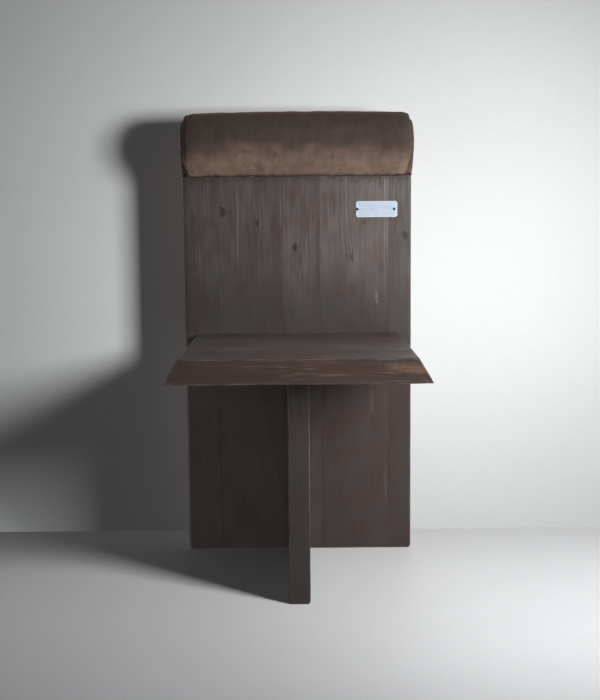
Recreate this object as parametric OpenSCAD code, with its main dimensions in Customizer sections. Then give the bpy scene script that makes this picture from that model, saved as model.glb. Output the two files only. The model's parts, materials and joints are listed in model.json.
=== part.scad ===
// Side chair: a plank back that stands on the floor, a bevelled plank seat,
// one upright fin under the seat's middle, and a velvet bolster along the top of the back.
// Millimetres. +Z is up, the sitter faces -Y, and the floor is z = 0.
// The origin lies on the floor under the middle of the chair's outer box.

/* [Back panel] */
// Width of the back panel
back_w = 460; // [410:1:520]
// Height of the back panel above the floor
back_h = 767; // [680:1:860]
// Thickness of the back panel
back_t = 38; // [32:1:50]
// Width of the stave at the sitter's right, on the left of a front view
stave_1_w = 70; // [50:1:85]
// Width of the second stave
stave_2_w = 130; // [110:1:140]
// Width of the third stave, which carries the fin
stave_3_w = 75; // [62:1:85]
// Width of the fifth stave, and the fourth takes what is left
stave_5_w = 45; // [30:1:70]
// Chamfer on the panel's upright arrises
back_chamfer = 4; // [1:0.5:6]
// Radius of the panel's two bottom corners
back_foot_r = 6; // [2:0.5:12]
// Radius of the panel's two top corners
back_top_r = 3; // [1:0.5:8]

/* [Seat] */
// Height of the sitting face above the floor
seat_h = 450; // [400:1:500]
// Thickness of the seat slab
seat_t = 40; // [32:1:50]
// Width of the seat's underside
seat_w = 452; // [400:1:500]
// Depth of the seat's underside, from the panel's face to the front edge
seat_depth = 466; // [400:1:520]
// How far the front and side bevels run outwards on their way down
seat_bevel = 22; // [8:1:36]
// Width of the seat board against the panel
seat_rear_w = 155; // [120:1:160]
// Width of the middle seat board, and the front board takes what is left
seat_middle_w = 156; // [135:1:165]
// Upright land along the foot of each bevel
seat_land = 1.5; // [0.5:0.5:5]
// Ease on the arris between the sitting face and each bevel
seat_ease = 1.5; // [0.5:0.5:5]

/* [Fin] */
// Thickness of the fin
fin_t = 38; // [30:1:46]
// Depth of the fin, from the panel's face to its front edge
fin_depth = 365; // [330:1:400]
// Width of the fin board against the panel
fin_rear_w = 121; // [90:1:150]
// Width of the middle fin board, and the front board takes what is left
fin_middle_w = 122; // [100:1:130]
// Chamfer on the fin's two front arrises
fin_chamfer = 1.5; // [0.5:0.5:5]
// Chamfer along the fin's foot
fin_foot_chamfer = 4; // [1:0.5:8]

/* [Dowels] */
// Diameter of a dowel
dowel_d = 10; // [8:0.5:12]
// Chamfer on a dowel's ends
dowel_chamfer = 1; // [0.5:0.5:2]
// How deep a dowel goes into the back panel
dowel_in_back = 24; // [16:1:28]
// How deep a dowel goes into the seat's rear edge or the fin's rear edge
dowel_in_edge = 36; // [25:1:42]
// How deep a dowel goes into the seat's underside
dowel_in_seat = 24; // [16:1:28]
// How deep a dowel goes into the fin's top
dowel_in_fin = 36; // [25:1:50]
// Gap between a dowel and the wall of its hole
dowel_fit = 0.1; // [0.05:0.05:0.3]
// Glue space past a dowel's end
glue_space = 1; // [0.5:0.5:2]
// Distance between the dowels along the seat's rear edge
seat_dowel_pitch = 85; // [60:1:88]
// Height of the lowest dowel between fin and panel
fin_dowel_first = 60; // [40:1:80]
// Distance between the dowels between fin and panel
fin_dowel_pitch = 95; // [70:1:100]
// Distance from the panel's face to the first dowel between fin and seat
top_dowel_first = 60; // [50:1:80]
// Distance between the dowels between fin and seat
top_dowel_pitch = 120; // [90:1:125]

/* [Bolster] */
// Diameter of the bolster at the middle of its length
bolster_d = 133; // [110:1:160]
// Length of the sleeve between its two end seams
bolster_l = 454; // [424:1:520]
// How much the radius falls from the middle to the shoulders
bolster_crown = 2.5; // [0:0.5:6]
// Length of the drawn-in shoulder at each end
shoulder_l = 20; // [10:1:40]
// How far the shoulder draws in towards the seam
shoulder_drop = 13; // [5:0.5:25]
// How far an end cap swells out past its seam
cap_bulge = 7.5; // [4:0.5:14]
// Thickness of the velvet cover
cover_t = 1.5; // [1:0.25:3]
// Gap between the foam and what lies against it
foam_gap = 0.3; // [0.1:0.1:0.8]
// Diameter of the wooden core
core_d = 45; // [32:1:60]
// Length of the wooden core
core_l = 400; // [300:1:420]
// Chamfer on the core's ends
core_chamfer = 3; // [1:0.5:6]

/* [Bolster fixings] */
// Distance between the two hanger bolts
bolt_pitch = 240; // [160:1:290]
// Diameter of a hanger bolt
bolt_d = 8; // [6:1:10]
// Chamfer on a bolt's ends
bolt_chamfer = 1; // [0.5:0.5:2]
// How deep a bolt goes into the core
bolt_in_core = 28; // [20:1:30]
// Slack of the foam and the cover round a bolt
bolt_slack = 0.5; // [0.2:0.1:1]
// Diameter of a threaded insert
insert_d = 13; // [12:0.5:16]
// Length of a threaded insert
insert_l = 22; // [15:1:30]
// Chamfer at an insert's mouth
insert_chamfer = 1; // [0.5:0.25:1.5]
// Room between a bolt's foot and the bottom of its insert
bolt_foot_room = 2; // [1:0.5:5]

/* [Plate] */
// Width of the bare metal plate
plate_w = 83; // [70:1:95]
// Height of the plate
plate_h = 32; // [24:1:44]
// Thickness of the plate at its rim
plate_t = 1.4; // [1:0.1:3]
// Corner cut of the plate
plate_corner = 3; // [1:0.5:8]
// Width of the plate's raised rim
plate_rim_w = 2.4; // [1.5:0.1:4]
// Height of the rim above the plate's field
plate_rim_h = 0.3; // [0.1:0.1:0.6]
// Distance from the plate to the panel's right edge
plate_side = 28; // [15:1:40]
// Distance from the plate to the panel's top
plate_drop = 51; // [30:1:120]
// Distance from the plate's left edge to its left screw, whose hole breaks out of the edge
screw_left_in = 2; // [1:0.5:2]
// Distance from the plate's right edge to its right screw
screw_right_in = 6.5; // [5:0.5:9]
// Diameter of a screw's shank
screw_d = 3; // [2:0.5:4]
// Length of a screw under its head
screw_l = 16; // [10:1:20]
// Length of a screw's point
screw_point_l = 4; // [2:0.5:6]
// Diameter of a screw's head
screw_head_d = 5.5; // [5:0.5:8]
// Height of a screw's domed head
screw_head_h = 1.6; // [1:0.1:2.5]
// Width of the slot in a screw's head
screw_slot_w = 0.9; // [0.5:0.1:1.2]
// Depth of the slot in a screw's head
screw_slot_h = 0.8; // [0.4:0.1:0.9]
// Gap round a screw in the plate and in its pilot hole
screw_fit = 0.1; // [0.05:0.05:0.3]

/* [Hidden] */

$fn = 48;
bolster_fn = 96;
crown_steps = 12;
shoulder_steps = 7;
cap_steps = 10;
corner_steps = 8;
// The shoulder's curve stops here, short of square, so that a groove is left at the seam
shoulder_turn = 75;
// Squareness of an end cap's dome: 2 is an ellipse, and more is flatter in the middle
cap_square = 2.6;
seat_dowels = 5;
fin_dowels = 4;
top_dowels = 3;
cut = 1;

// Panel face: in the modules below it lies at y = 0, and the whole chair is moved by this at the end
face_y = (seat_depth - back_t / 2 - bolster_d / 2) / 2;
fin_h = seat_h - seat_t;
stave_x = [
    -back_w / 2,
    -back_w / 2 + stave_1_w,
    -back_w / 2 + stave_1_w + stave_2_w,
    -back_w / 2 + stave_1_w + stave_2_w + stave_3_w,
    back_w / 2 - stave_5_w,
    back_w / 2
];
fin_y = [0, -fin_rear_w, -fin_rear_w - fin_middle_w, -fin_depth];
seat_y = [0, -seat_rear_w, -seat_rear_w - seat_middle_w, -seat_depth];

// The bolster sits down until the panel's top edge fills its flat from front to back
bolster_z = back_h + sqrt(pow(bolster_d / 2, 2) - pow(back_t / 2, 2));
seam_x = bolster_l / 2;
shoulder_x = seam_x - shoulder_l;
shoulder_r = bolster_d / 2 - bolster_crown;
seam_r = shoulder_r - shoulder_drop;
// Full size of the quarter ellipse whose first part is the shoulder
ellipse_l = shoulder_l / sin(shoulder_turn);
ellipse_h = shoulder_drop / (1 - cos(shoulder_turn));

plate_x = back_w / 2 - plate_side - plate_w / 2;
plate_z = back_h - plate_drop - plate_h / 2;
screw_x = [plate_x - plate_w / 2 + screw_left_in, plate_x + plate_w / 2 - screw_right_in];
bolt_x = [-bolt_pitch / 2, bolt_pitch / 2];
bolt_foot_z = back_h - insert_l + bolt_foot_room;
bolt_head_z = bolster_z - core_d / 2 + bolt_in_core;

function arc(centre, r, from, to, steps = corner_steps) =
    [for (i = [0:steps]) let (a = from + (to - from) * i / steps) centre + r * [cos(a), sin(a)]];

function unit(v) = v / norm(v);

// Half outline of the sleeve from the middle to the end seam, as [distance along, radius],
// set back by depth at right angles to the cloth
function sleeve_half(depth) = concat(
    [for (i = [0:crown_steps - 1])
        let (share = i / crown_steps)
        [shoulder_x * share, bolster_d / 2 - bolster_crown * share * share - depth]],
    [for (i = [0:shoulder_steps])
        let (a = shoulder_turn * i / shoulder_steps)
        [shoulder_x + ellipse_l * sin(a), shoulder_r - ellipse_h * (1 - cos(a))]
            - depth * unit([sin(a) / ellipse_l, cos(a) / ellipse_h])],
    depth > 0 ? [[seam_x, seam_r - depth]] : []
);

// Half outline of an end cap's dome from its rim to its middle
function cap_half(depth) = [for (i = [0:cap_steps])
    let (a = 90 * i / cap_steps, p = 2 / cap_square)
    [seam_x + (cap_bulge - depth) * pow(sin(a), p), (seam_r - depth) * pow(max(cos(a), 0), p)]];

function mirrored(points) = [for (i = [len(points) - 1:-1:0]) [-points[i][0], points[i][1]]];

// Outline of the sleeve, open at its ends: it is closed by a straight run along the axis
function sleeve_outline(depth, over = 0) = concat(
    [[-seam_x - over, 0]],
    over > 0 ? [[-seam_x - over, seam_r - depth]] : [],
    mirrored(sleeve_half(depth)),
    [for (i = [1:len(sleeve_half(depth)) - 1]) sleeve_half(depth)[i]],
    over > 0 ? [[seam_x + over, seam_r - depth]] : [],
    [[seam_x + over, 0]]
);

// Outline of the whole stuffed form, domes and all
function foam_outline(depth) = concat(
    mirrored([for (i = [1:cap_steps]) cap_half(depth)[i]]),
    mirrored(sleeve_half(depth)),
    [for (i = [1:len(sleeve_half(depth)) - 1]) sleeve_half(depth)[i]],
    [for (i = [1:cap_steps]) cap_half(depth)[i]]
);

module in_place() { translate([0, face_y, 0]) children(); }

// Turns an outline drawn as [x, z] into a solid from y = from to y = to
module along_y(from, to) {
    translate([0, to, 0]) rotate([90, 0, 0]) linear_extrude(to - from) children();
}

// Turns an outline drawn as [y, z] into a solid that is centred on x = 0
module along_x(length) {
    translate([-length / 2, 0, 0]) rotate([90, 0, 90]) linear_extrude(length) children();
}

// Revolves an outline drawn as [distance along x, radius] about the bolster's axis
module about_bolster_axis(outline) {
    translate([0, back_t / 2, bolster_z]) rotate([0, 90, 0]) rotate([0, 0, 180])
        rotate_extrude($fn = bolster_fn) polygon([for (p = outline) [p[1], p[0]]]);
}

module above(z) { translate([-back_w, -back_w, z]) cube([2 * back_w, 2 * back_w, back_w]); }

// Round pin along +Z with chamfered ends
module pin(d, length, chamfer) {
    rotate_extrude() polygon([
        [0, 0], [d / 2 - chamfer, 0], [d / 2, chamfer],
        [d / 2, length - chamfer], [d / 2 - chamfer, length], [0, length]
    ]);
}

// The dowel sets: with grow = 0 they are the dowels, and otherwise their holes
module back_dowel(z, inward, grow) {
    end = grow > 0 ? glue_space : 0;
    translate([0, -inward - end, z]) rotate([-90, 0, 0])
        pin(dowel_d + 2 * grow, inward + dowel_in_back + 2 * end, dowel_chamfer);
}

module seat_to_back_set(grow = 0) {
    for (i = [0:seat_dowels - 1])
        translate([(i - (seat_dowels - 1) / 2) * seat_dowel_pitch, 0, 0])
            back_dowel(seat_h - seat_t / 2, dowel_in_edge, grow);
}

module fin_to_back_set(grow = 0) {
    for (i = [0:fin_dowels - 1])
        back_dowel(fin_dowel_first + i * fin_dowel_pitch, dowel_in_edge, grow);
}

module seat_to_fin_set(grow = 0) {
    end = grow > 0 ? glue_space : 0;
    for (i = [0:top_dowels - 1])
        translate([0, -top_dowel_first - i * top_dowel_pitch, fin_h - dowel_in_fin - end])
            pin(dowel_d + 2 * grow, dowel_in_fin + dowel_in_seat + 2 * end, dowel_chamfer);
}

// The whole back panel before it is divided into staves
module panel_form() {
    intersection() {
        along_y(0, back_t) polygon(concat(
            arc([-back_w / 2 + back_foot_r, back_foot_r], back_foot_r, 180, 270),
            arc([back_w / 2 - back_foot_r, back_foot_r], back_foot_r, 270, 360),
            arc([back_w / 2 - back_top_r, back_h - back_top_r], back_top_r, 0, 90),
            arc([-back_w / 2 + back_top_r, back_h - back_top_r], back_top_r, 90, 180)
        ));
        linear_extrude(back_h) polygon([
            [-back_w / 2, back_chamfer], [-back_w / 2 + back_chamfer, 0],
            [back_w / 2 - back_chamfer, 0], [back_w / 2, back_chamfer],
            [back_w / 2, back_t - back_chamfer], [back_w / 2 - back_chamfer, back_t],
            [-back_w / 2 + back_chamfer, back_t], [-back_w / 2, back_t - back_chamfer]
        ]);
    }
}

module back_stave(i) {
    color([0.24, 0.22, 0.21]) in_place() difference() {
        intersection() {
            panel_form();
            translate([stave_x[i], -cut, -cut])
                cube([stave_x[i + 1] - stave_x[i], back_t + 2 * cut, back_h + 2 * cut]);
        }
        seat_to_back_set(dowel_fit);
        fin_to_back_set(dowel_fit);
        for (x = bolt_x)
            translate([x, back_t / 2, back_h - insert_l]) cylinder(d = insert_d + 2 * dowel_fit, h = insert_l + cut);
        for (x = screw_x)
            translate([x, -cut, plate_z]) rotate([-90, 0, 0])
                cylinder(d = screw_d + 2 * screw_fit, h = screw_l + cut);
    }
}

// The whole fin before it is divided into boards
module fin_form() {
    intersection() {
        along_y(-fin_depth, 0) polygon([
            [-fin_t / 2, fin_foot_chamfer], [-fin_t / 2 + fin_foot_chamfer, 0],
            [fin_t / 2 - fin_foot_chamfer, 0], [fin_t / 2, fin_foot_chamfer],
            [fin_t / 2, fin_h], [-fin_t / 2, fin_h]
        ]);
        linear_extrude(fin_h) polygon([
            [-fin_t / 2, 0], [-fin_t / 2, -fin_depth + fin_chamfer],
            [-fin_t / 2 + fin_chamfer, -fin_depth], [fin_t / 2 - fin_chamfer, -fin_depth],
            [fin_t / 2, -fin_depth + fin_chamfer], [fin_t / 2, 0]
        ]);
    }
}

module fin_board(i) {
    color([0.22, 0.2, 0.19]) in_place() difference() {
        intersection() {
            fin_form();
            translate([-fin_t, fin_y[i + 1], -cut]) cube([2 * fin_t, fin_y[i] - fin_y[i + 1], fin_h + 2 * cut]);
        }
        fin_to_back_set(dowel_fit);
        seat_to_fin_set(dowel_fit);
    }
}

// Right-hand edge of the seat as an outline: foot, land, bevel, eased arris, top
function seat_edge(reach) = let (
    foot = [reach, seat_land],
    brow = [reach - seat_bevel, seat_t],
    down = unit(foot - brow)
) [[reach, 0], foot, brow + seat_ease * down, brow - [seat_ease, 0]];

// The whole seat slab: one outline gives the side bevels and the other the front bevel,
// so that the bevels meet in true mitres at the front corners
module seat_form() {
    translate([0, 0, fin_h]) intersection() {
        along_y(-seat_depth, 0) polygon(concat(seat_edge(seat_w / 2), mirrored(seat_edge(seat_w / 2))));
        along_x(seat_w) polygon(concat(mirrored(seat_edge(seat_depth)), [[0, 0], [0, seat_t]]));
    }
}

module seat_board(i) {
    color([0.25, 0.22, 0.2]) in_place() difference() {
        intersection() {
            seat_form();
            translate([-seat_w, seat_y[i + 1], fin_h - cut])
                cube([2 * seat_w, seat_y[i] - seat_y[i + 1], seat_t + 2 * cut]);
        }
        seat_to_back_set(dowel_fit);
        seat_to_fin_set(dowel_fit);
    }
}

module seat_to_back_dowels() { color("burlywood") in_place() seat_to_back_set(); }
module fin_to_back_dowels() { color("burlywood") in_place() fin_to_back_set(); }
module seat_to_fin_dowels() { color("burlywood") in_place() seat_to_fin_set(); }

// Holes for the hanger bolts, from the bolts' feet up
module bolt_holes(slack, top) {
    for (x = bolt_x)
        translate([x, back_t / 2, bolt_foot_z]) cylinder(d = bolt_d + 2 * slack, h = top - bolt_foot_z);
}

module bolster_sleeve() {
    color([0.38, 0.31, 0.27]) in_place() difference() {
        intersection() {
            about_bolster_axis(sleeve_outline(0));
            above(back_h);
        }
        intersection() {
            about_bolster_axis(sleeve_outline(cover_t, cut));
            above(back_h + cover_t);
        }
        bolt_holes(bolt_slack, bolster_z);
    }
}

// End cap: side is 1 at the right and -1 at the left
module bolster_cap(side) {
    outline = concat(
        [for (p = cap_half(0)) [side * p[0], p[1]]],
        [for (i = [cap_steps:-1:0]) let (p = cap_half(cover_t)[i])
            [side * (i == 0 ? seam_x : p[0]), p[1]]]
    );
    color([0.35, 0.29, 0.25]) in_place() about_bolster_axis(outline);
}

module bolster_foam() {
    color("ivory") in_place() difference() {
        intersection() {
            about_bolster_axis(foam_outline(cover_t + foam_gap));
            above(back_h + cover_t + foam_gap);
        }
        translate([-core_l / 2 - foam_gap, back_t / 2, bolster_z]) rotate([0, 90, 0])
            cylinder(d = core_d + 2 * foam_gap, h = core_l + 2 * foam_gap);
        bolt_holes(bolt_slack, bolster_z);
    }
}

module bolster_core() {
    color("tan") in_place() difference() {
        translate([-core_l / 2, back_t / 2, bolster_z]) rotate([0, 90, 0]) pin(core_d, core_l, core_chamfer);
        bolt_holes(dowel_fit, bolt_head_z + glue_space);
    }
}

module bolster_bolts() {
    color("silver") in_place() for (x = bolt_x)
        translate([x, back_t / 2, bolt_foot_z]) pin(bolt_d, bolt_head_z - bolt_foot_z, bolt_chamfer);
}

module bolt_inserts() {
    wall = [insert_d / 2, bolt_d / 2 + dowel_fit];
    color("goldenrod") in_place() for (x = bolt_x)
        translate([x, back_t / 2, back_h - insert_l]) rotate_extrude() polygon([
            [wall[1], 0], [wall[0] - insert_chamfer, 0], [wall[0], insert_chamfer], [wall[0], insert_l],
            [wall[1] + insert_chamfer, insert_l], [wall[1], insert_l - insert_chamfer]
        ]);
}

// Rectangle with cut corners
module cut_corner_outline(w, h, corner) {
    polygon([
        [-w / 2, -h / 2 + corner], [-w / 2 + corner, -h / 2], [w / 2 - corner, -h / 2], [w / 2, -h / 2 + corner],
        [w / 2, h / 2 - corner], [w / 2 - corner, h / 2], [-w / 2 + corner, h / 2], [-w / 2, h / 2 - corner]
    ]);
}

// Bare plate with a raised rim. The left screw sits in a notch that is open to the plate's edge
module plate() {
    hole_d = screw_d + 2 * screw_fit;
    field = plate_t - plate_rim_h;
    color("gainsboro") in_place() translate([plate_x, 0, plate_z]) rotate([90, 0, 0]) difference() {
        linear_extrude(plate_t) cut_corner_outline(plate_w, plate_h, plate_corner);
        translate([0, 0, field]) linear_extrude(plate_rim_h + cut)
            cut_corner_outline(plate_w - 2 * plate_rim_w, plate_h - 2 * plate_rim_w, plate_corner);
        for (x = screw_x) {
            translate([x - plate_x, 0, -cut]) cylinder(d = hole_d, h = plate_t + 2 * cut);
            translate([x - plate_x, 0, field]) cylinder(d = screw_head_d + 4 * screw_fit, h = plate_rim_h + cut);
        }
        translate([-plate_w / 2 - cut, -hole_d / 2, -cut])
            cube([screw_left_in + cut, hole_d, plate_t + 2 * cut]);
    }
}

// Wood screws whose domed, slotted heads bear on the plate's field
module plate_screws() {
    dome_r = (pow(screw_head_d / 2, 2) + pow(screw_head_h, 2)) / (2 * screw_head_h);
    dome_a = acos((dome_r - screw_head_h) / dome_r);
    field = plate_t - plate_rim_h;
    color("dimgray") in_place() for (x = screw_x)
        translate([x, -field, plate_z]) rotate([-90, 0, 0]) difference() {
            rotate_extrude() polygon(concat(
                arc([0, dome_r - screw_head_h], dome_r, -90, dome_a - 90),
                [[screw_d / 2, 0], [screw_d / 2, screw_l - screw_point_l], [0, screw_l]]
            ));
            translate([-screw_head_d, -screw_slot_w / 2, -screw_head_h - cut])
                cube([2 * screw_head_d, screw_slot_w, screw_slot_h + cut]);
        }
}

back_stave(0);  // back_stave_1
back_stave(1);  // back_stave_2
back_stave(2);  // back_stave_3
back_stave(3);  // back_stave_4
back_stave(4);  // back_stave_5
fin_board(0);  // fin_board_rear
fin_board(1);  // fin_board_middle
fin_board(2);  // fin_board_front
seat_board(0);  // seat_board_rear
seat_board(1);  // seat_board_middle
seat_board(2);  // seat_board_front
seat_to_back_dowels();
fin_to_back_dowels();
seat_to_fin_dowels();
bolster_sleeve();
bolster_cap(-1);  // bolster_cap_left
bolster_cap(1);  // bolster_cap_right
bolster_foam();
bolster_core();
bolster_bolts();
bolt_inserts();
plate();
plate_screws();
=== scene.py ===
"""Dresses the side chair: a plank back, a fin leg, a bevelled seat slab and a velvet bolster.

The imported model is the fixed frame. Every visible board is modelled again here with eased arrises and a
hand-planed face, the bolster is a simulated cover of three sewn pieces round its filling, and every other
node keeps its shape and gets its finish. All sizes are in metres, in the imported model's frame.
"""

from __future__ import annotations

import json
import logging
import math
from dataclasses import dataclass, field
from enum import Enum
from functools import partial, reduce
from typing import Callable, Iterable, Sequence, Union

import bmesh
import bpy
from mathutils import Matrix, Vector, noise

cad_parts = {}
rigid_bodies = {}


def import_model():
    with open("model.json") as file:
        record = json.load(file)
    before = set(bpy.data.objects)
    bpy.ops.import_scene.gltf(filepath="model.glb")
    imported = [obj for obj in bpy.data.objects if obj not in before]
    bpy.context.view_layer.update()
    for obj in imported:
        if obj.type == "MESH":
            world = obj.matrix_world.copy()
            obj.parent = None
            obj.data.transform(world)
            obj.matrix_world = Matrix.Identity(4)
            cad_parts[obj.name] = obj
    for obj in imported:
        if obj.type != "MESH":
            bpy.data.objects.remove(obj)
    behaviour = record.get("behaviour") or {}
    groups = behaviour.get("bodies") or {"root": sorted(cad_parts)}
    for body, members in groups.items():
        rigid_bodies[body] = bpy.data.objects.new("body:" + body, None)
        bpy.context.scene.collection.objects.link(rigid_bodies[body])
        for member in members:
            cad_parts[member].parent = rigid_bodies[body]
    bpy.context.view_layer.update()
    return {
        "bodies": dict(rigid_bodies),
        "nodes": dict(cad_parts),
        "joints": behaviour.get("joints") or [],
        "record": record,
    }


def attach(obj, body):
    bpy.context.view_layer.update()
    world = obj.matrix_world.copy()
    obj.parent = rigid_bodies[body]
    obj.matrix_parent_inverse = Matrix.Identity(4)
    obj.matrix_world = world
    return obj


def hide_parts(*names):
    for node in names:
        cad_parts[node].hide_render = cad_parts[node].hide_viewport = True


LOG = logging.getLogger("chair")

Pair = tuple[float, float]
Triple = tuple[float, float, float]
Colour = tuple[float, float, float, float]
Socket = bpy.types.NodeSocket
Feed = Union[float, Sequence[float], Socket]
Piece = bpy.types.Object
Edge = bmesh.types.BMEdge
Relief = Callable[[Vector, Vector], float]

FACE_Y = 0.19025  # the back's front face, where the fin and the seat meet it
BACK_TOP = 0.767  # the back's top edge, on which the bolster rests
SEAT_UNDER = 0.410  # the seat's underside and the fin's top
SEAM_X = 0.227  # each of the bolster's seams, from the middle
PLANK = 0.038  # the thickness of the back and the fin
COVERED = 0.02  # puts the face under a covering piece out of reach, so that it shows no wear
SEED_STEP = 9.7  # from one board's planing marks to the next one's
TOUCH = 1e-5  # two places nearer than this are the same
SHARP = 0.65  # an edge that turns by more than this, in radians, is an arris


def srgb(red: int, green: int, blue: int) -> Colour:
    """Turns a colour as a screen shows it into Blender's linear colour.

    Args:
        red: Red, 0 to 255.
        green: Green, 0 to 255.
        blue: Blue, 0 to 255.

    Returns:
        The linear colour with an alpha of 1.
    """

    def linear(value: int) -> float:
        """Returns one channel in linear light, by the sRGB standard's curve."""
        share = value / 255
        return share / 12.92 if share <= 0.04045 else ((share + 0.055) / 1.055) ** 2.4

    return linear(red), linear(green), linear(blue), 1.0


def blend_in(low: float, high: float, value: float) -> float:
    """Rises smoothly from 0 at low to 1 at high.

    Args:
        low: Where the rise starts.
        high: Where it ends.
        value: The place asked about.

    Returns:
        The height of the rise there, 0 to 1.
    """
    share = min(1.0, max(0.0, (value - low) / (high - low)))
    return share * share * (3 - 2 * share)


BACKDROP = srgb(234, 236, 238)


@dataclass(frozen=True)
class Noise:
    """A noise: its cycles per metre along each axis, its octaves on top of the first, and its seed."""

    stretch: Triple
    octaves: int
    seed: float


class Graph:
    """A node tree, with a short method for each kind of node that the finishes use."""

    def __init__(self, tree: bpy.types.NodeTree) -> None:
        """Starts from an empty tree."""
        self.tree = tree
        self.tree.nodes.clear()

    def node(self, kind: str, *values: Feed, **settings: object) -> bpy.types.Node:
        """Adds a node.

        Args:
            kind: The node's type name.
            *values: What goes into its first inputs, in order.
            **settings: Properties to set on it.

        Returns:
            The new node.
        """
        made = self.tree.nodes.new(kind)
        for name, value in settings.items():
            setattr(made, name, value)
        for socket, value in zip(made.inputs, values):
            self.feed(socket, value)
        return made

    def feed(self, socket: Socket, value: Feed) -> None:
        """Links a socket to another, or sets it where the value is a number or a colour.

        Args:
            socket: The input socket.
            value: What goes into it.
        """
        if isinstance(value, Socket):
            self.tree.links.new(value, socket)
        elif isinstance(value, (int, float)):
            socket.default_value = value
        else:
            socket.default_value = tuple(value)[: len(socket.default_value)]

    def math(self, operation: str, *values: Feed) -> Socket:
        """Returns what a Math node makes of numbers."""
        return self.node("ShaderNodeMath", *values, operation=operation).outputs[0]

    def times(self, *values: Feed) -> Socket:
        """Returns the product of some numbers."""
        return reduce(partial(self.math, "MULTIPLY"), values)

    def plus(self, *values: Feed) -> Socket:
        """Returns the sum of some numbers."""
        return reduce(partial(self.math, "ADD"), values)

    def minus(self, first: Feed, second: Feed) -> Socket:
        """Returns the first number less the second."""
        return self.math("SUBTRACT", first, second)

    def least(self, first: Feed, second: Feed) -> Socket:
        """Returns the smaller of two numbers."""
        return self.math("MINIMUM", first, second)

    def most(self, *values: Feed) -> Socket:
        """Returns the largest of some numbers."""
        return reduce(partial(self.math, "MAXIMUM"), values)

    def vector(self, operation: str, *values: Feed) -> Socket:
        """Works out a vector, or the number that a dot product or a length gives.

        Args:
            operation: The Vector Math node's operation.
            *values: Its inputs, in order. SCALE takes the vector and its factor.

        Returns:
            The result's socket.
        """
        made = self.node("ShaderNodeVectorMath", values[0], operation=operation)
        if len(values) > 1:
            self.feed(made.inputs["Scale" if operation == "SCALE" else 1], values[1])
        return made.outputs["Value" if operation in ("DOT_PRODUCT", "LENGTH") else "Vector"]

    def parts(self, value: Socket) -> tuple[Socket, ...]:
        """Returns the X, Y and Z sockets of a vector."""
        return tuple(self.node("ShaderNodeSeparateXYZ", value).outputs)

    def join(self, *values: Feed) -> Socket:
        """Returns a vector made of three numbers."""
        return self.node("ShaderNodeCombineXYZ", *values).outputs[0]

    def cloud(self, at: Socket, kind: Noise, seed: float = 0.0, output: str = "Fac") -> Socket:
        """Adds noise.

        Args:
            at: The place that it is read at, in metres.
            kind: The noise.
            seed: Moves its pattern further.
            output: Fac for one value, or Color for three independent ones as a vector.

        Returns:
            The noise, about 0 to 1 with its middle at 0.5.
        """
        seed += kind.seed
        scaled = self.vector("MULTIPLY", at, kind.stretch)
        moved = self.vector("ADD", scaled, (seed * 7.13, seed * 3.71, seed * 11.9))
        made = self.node("ShaderNodeTexNoise", moved)
        self.feed(made.inputs["Scale"], 1.0)
        self.feed(made.inputs["Detail"], kind.octaves)
        return made.outputs[output]

    def swing(self, at: Socket, kind: Noise, seed: float = 0.0) -> Socket:
        """Returns noise that swings about 0."""
        return self.minus(self.cloud(at, kind, seed), 0.5)

    def drift(self, at: Socket, kind: Noise, seed: float, reach: float) -> Socket:
        """Returns a small move in any direction, by noise times its reach."""
        moved = self.vector("SUBTRACT", self.cloud(at, kind, seed, "Color"), (0.5, 0.5, 0.5))
        return self.vector("SCALE", moved, reach)

    def rise(self, value: Feed, low: float, high: float, start: float = 0.0, end: float = 1.0) -> Socket:
        """Maps a number smoothly from one range to another, and keeps it there.

        Args:
            value: The number.
            low: Where the rise starts.
            high: Where it ends.
            start: What it gives up to low.
            end: What it gives from high on.

        Returns:
            The mapped number's socket.
        """
        made = self.node("ShaderNodeMapRange", value, low, high, start, end, interpolation_type="SMOOTHSTEP")
        return made.outputs[0]

    def band(self, value: Feed, up: Pair, down: Pair, end: float = 0.0) -> Socket:
        """Returns a rise from 0 to 1 over the range up, times a fall from 1 to end over the range down."""
        return self.times(self.rise(value, *up), self.rise(value, *down, 1.0, end))

    def mix(self, share: Feed, first: Feed, second: Feed) -> Socket:
        """Mixes two colours.

        Args:
            share: How much of the second, 0 to 1.
            first: The first colour.
            second: The second colour.

        Returns:
            The mixed colour's socket.
        """
        made = self.node("ShaderNodeMix", share, data_type="RGBA")
        inputs = [socket for socket in made.inputs if socket.type == "RGBA"]
        for socket, value in zip(inputs, (first, second)):
            self.feed(socket, value)
        return next(socket for socket in made.outputs if socket.type == "RGBA")

    def shade(self, colour: Feed, amount: Feed) -> Socket:
        """Returns a colour times a number."""
        return self.vector("SCALE", colour, amount)

    def either(self, share: Socket, first: Socket, second: Socket) -> Socket:
        """Returns a mix of two shaders, by the share of the second."""
        return self.node("ShaderNodeMixShader", share, first, second).outputs[0]


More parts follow.
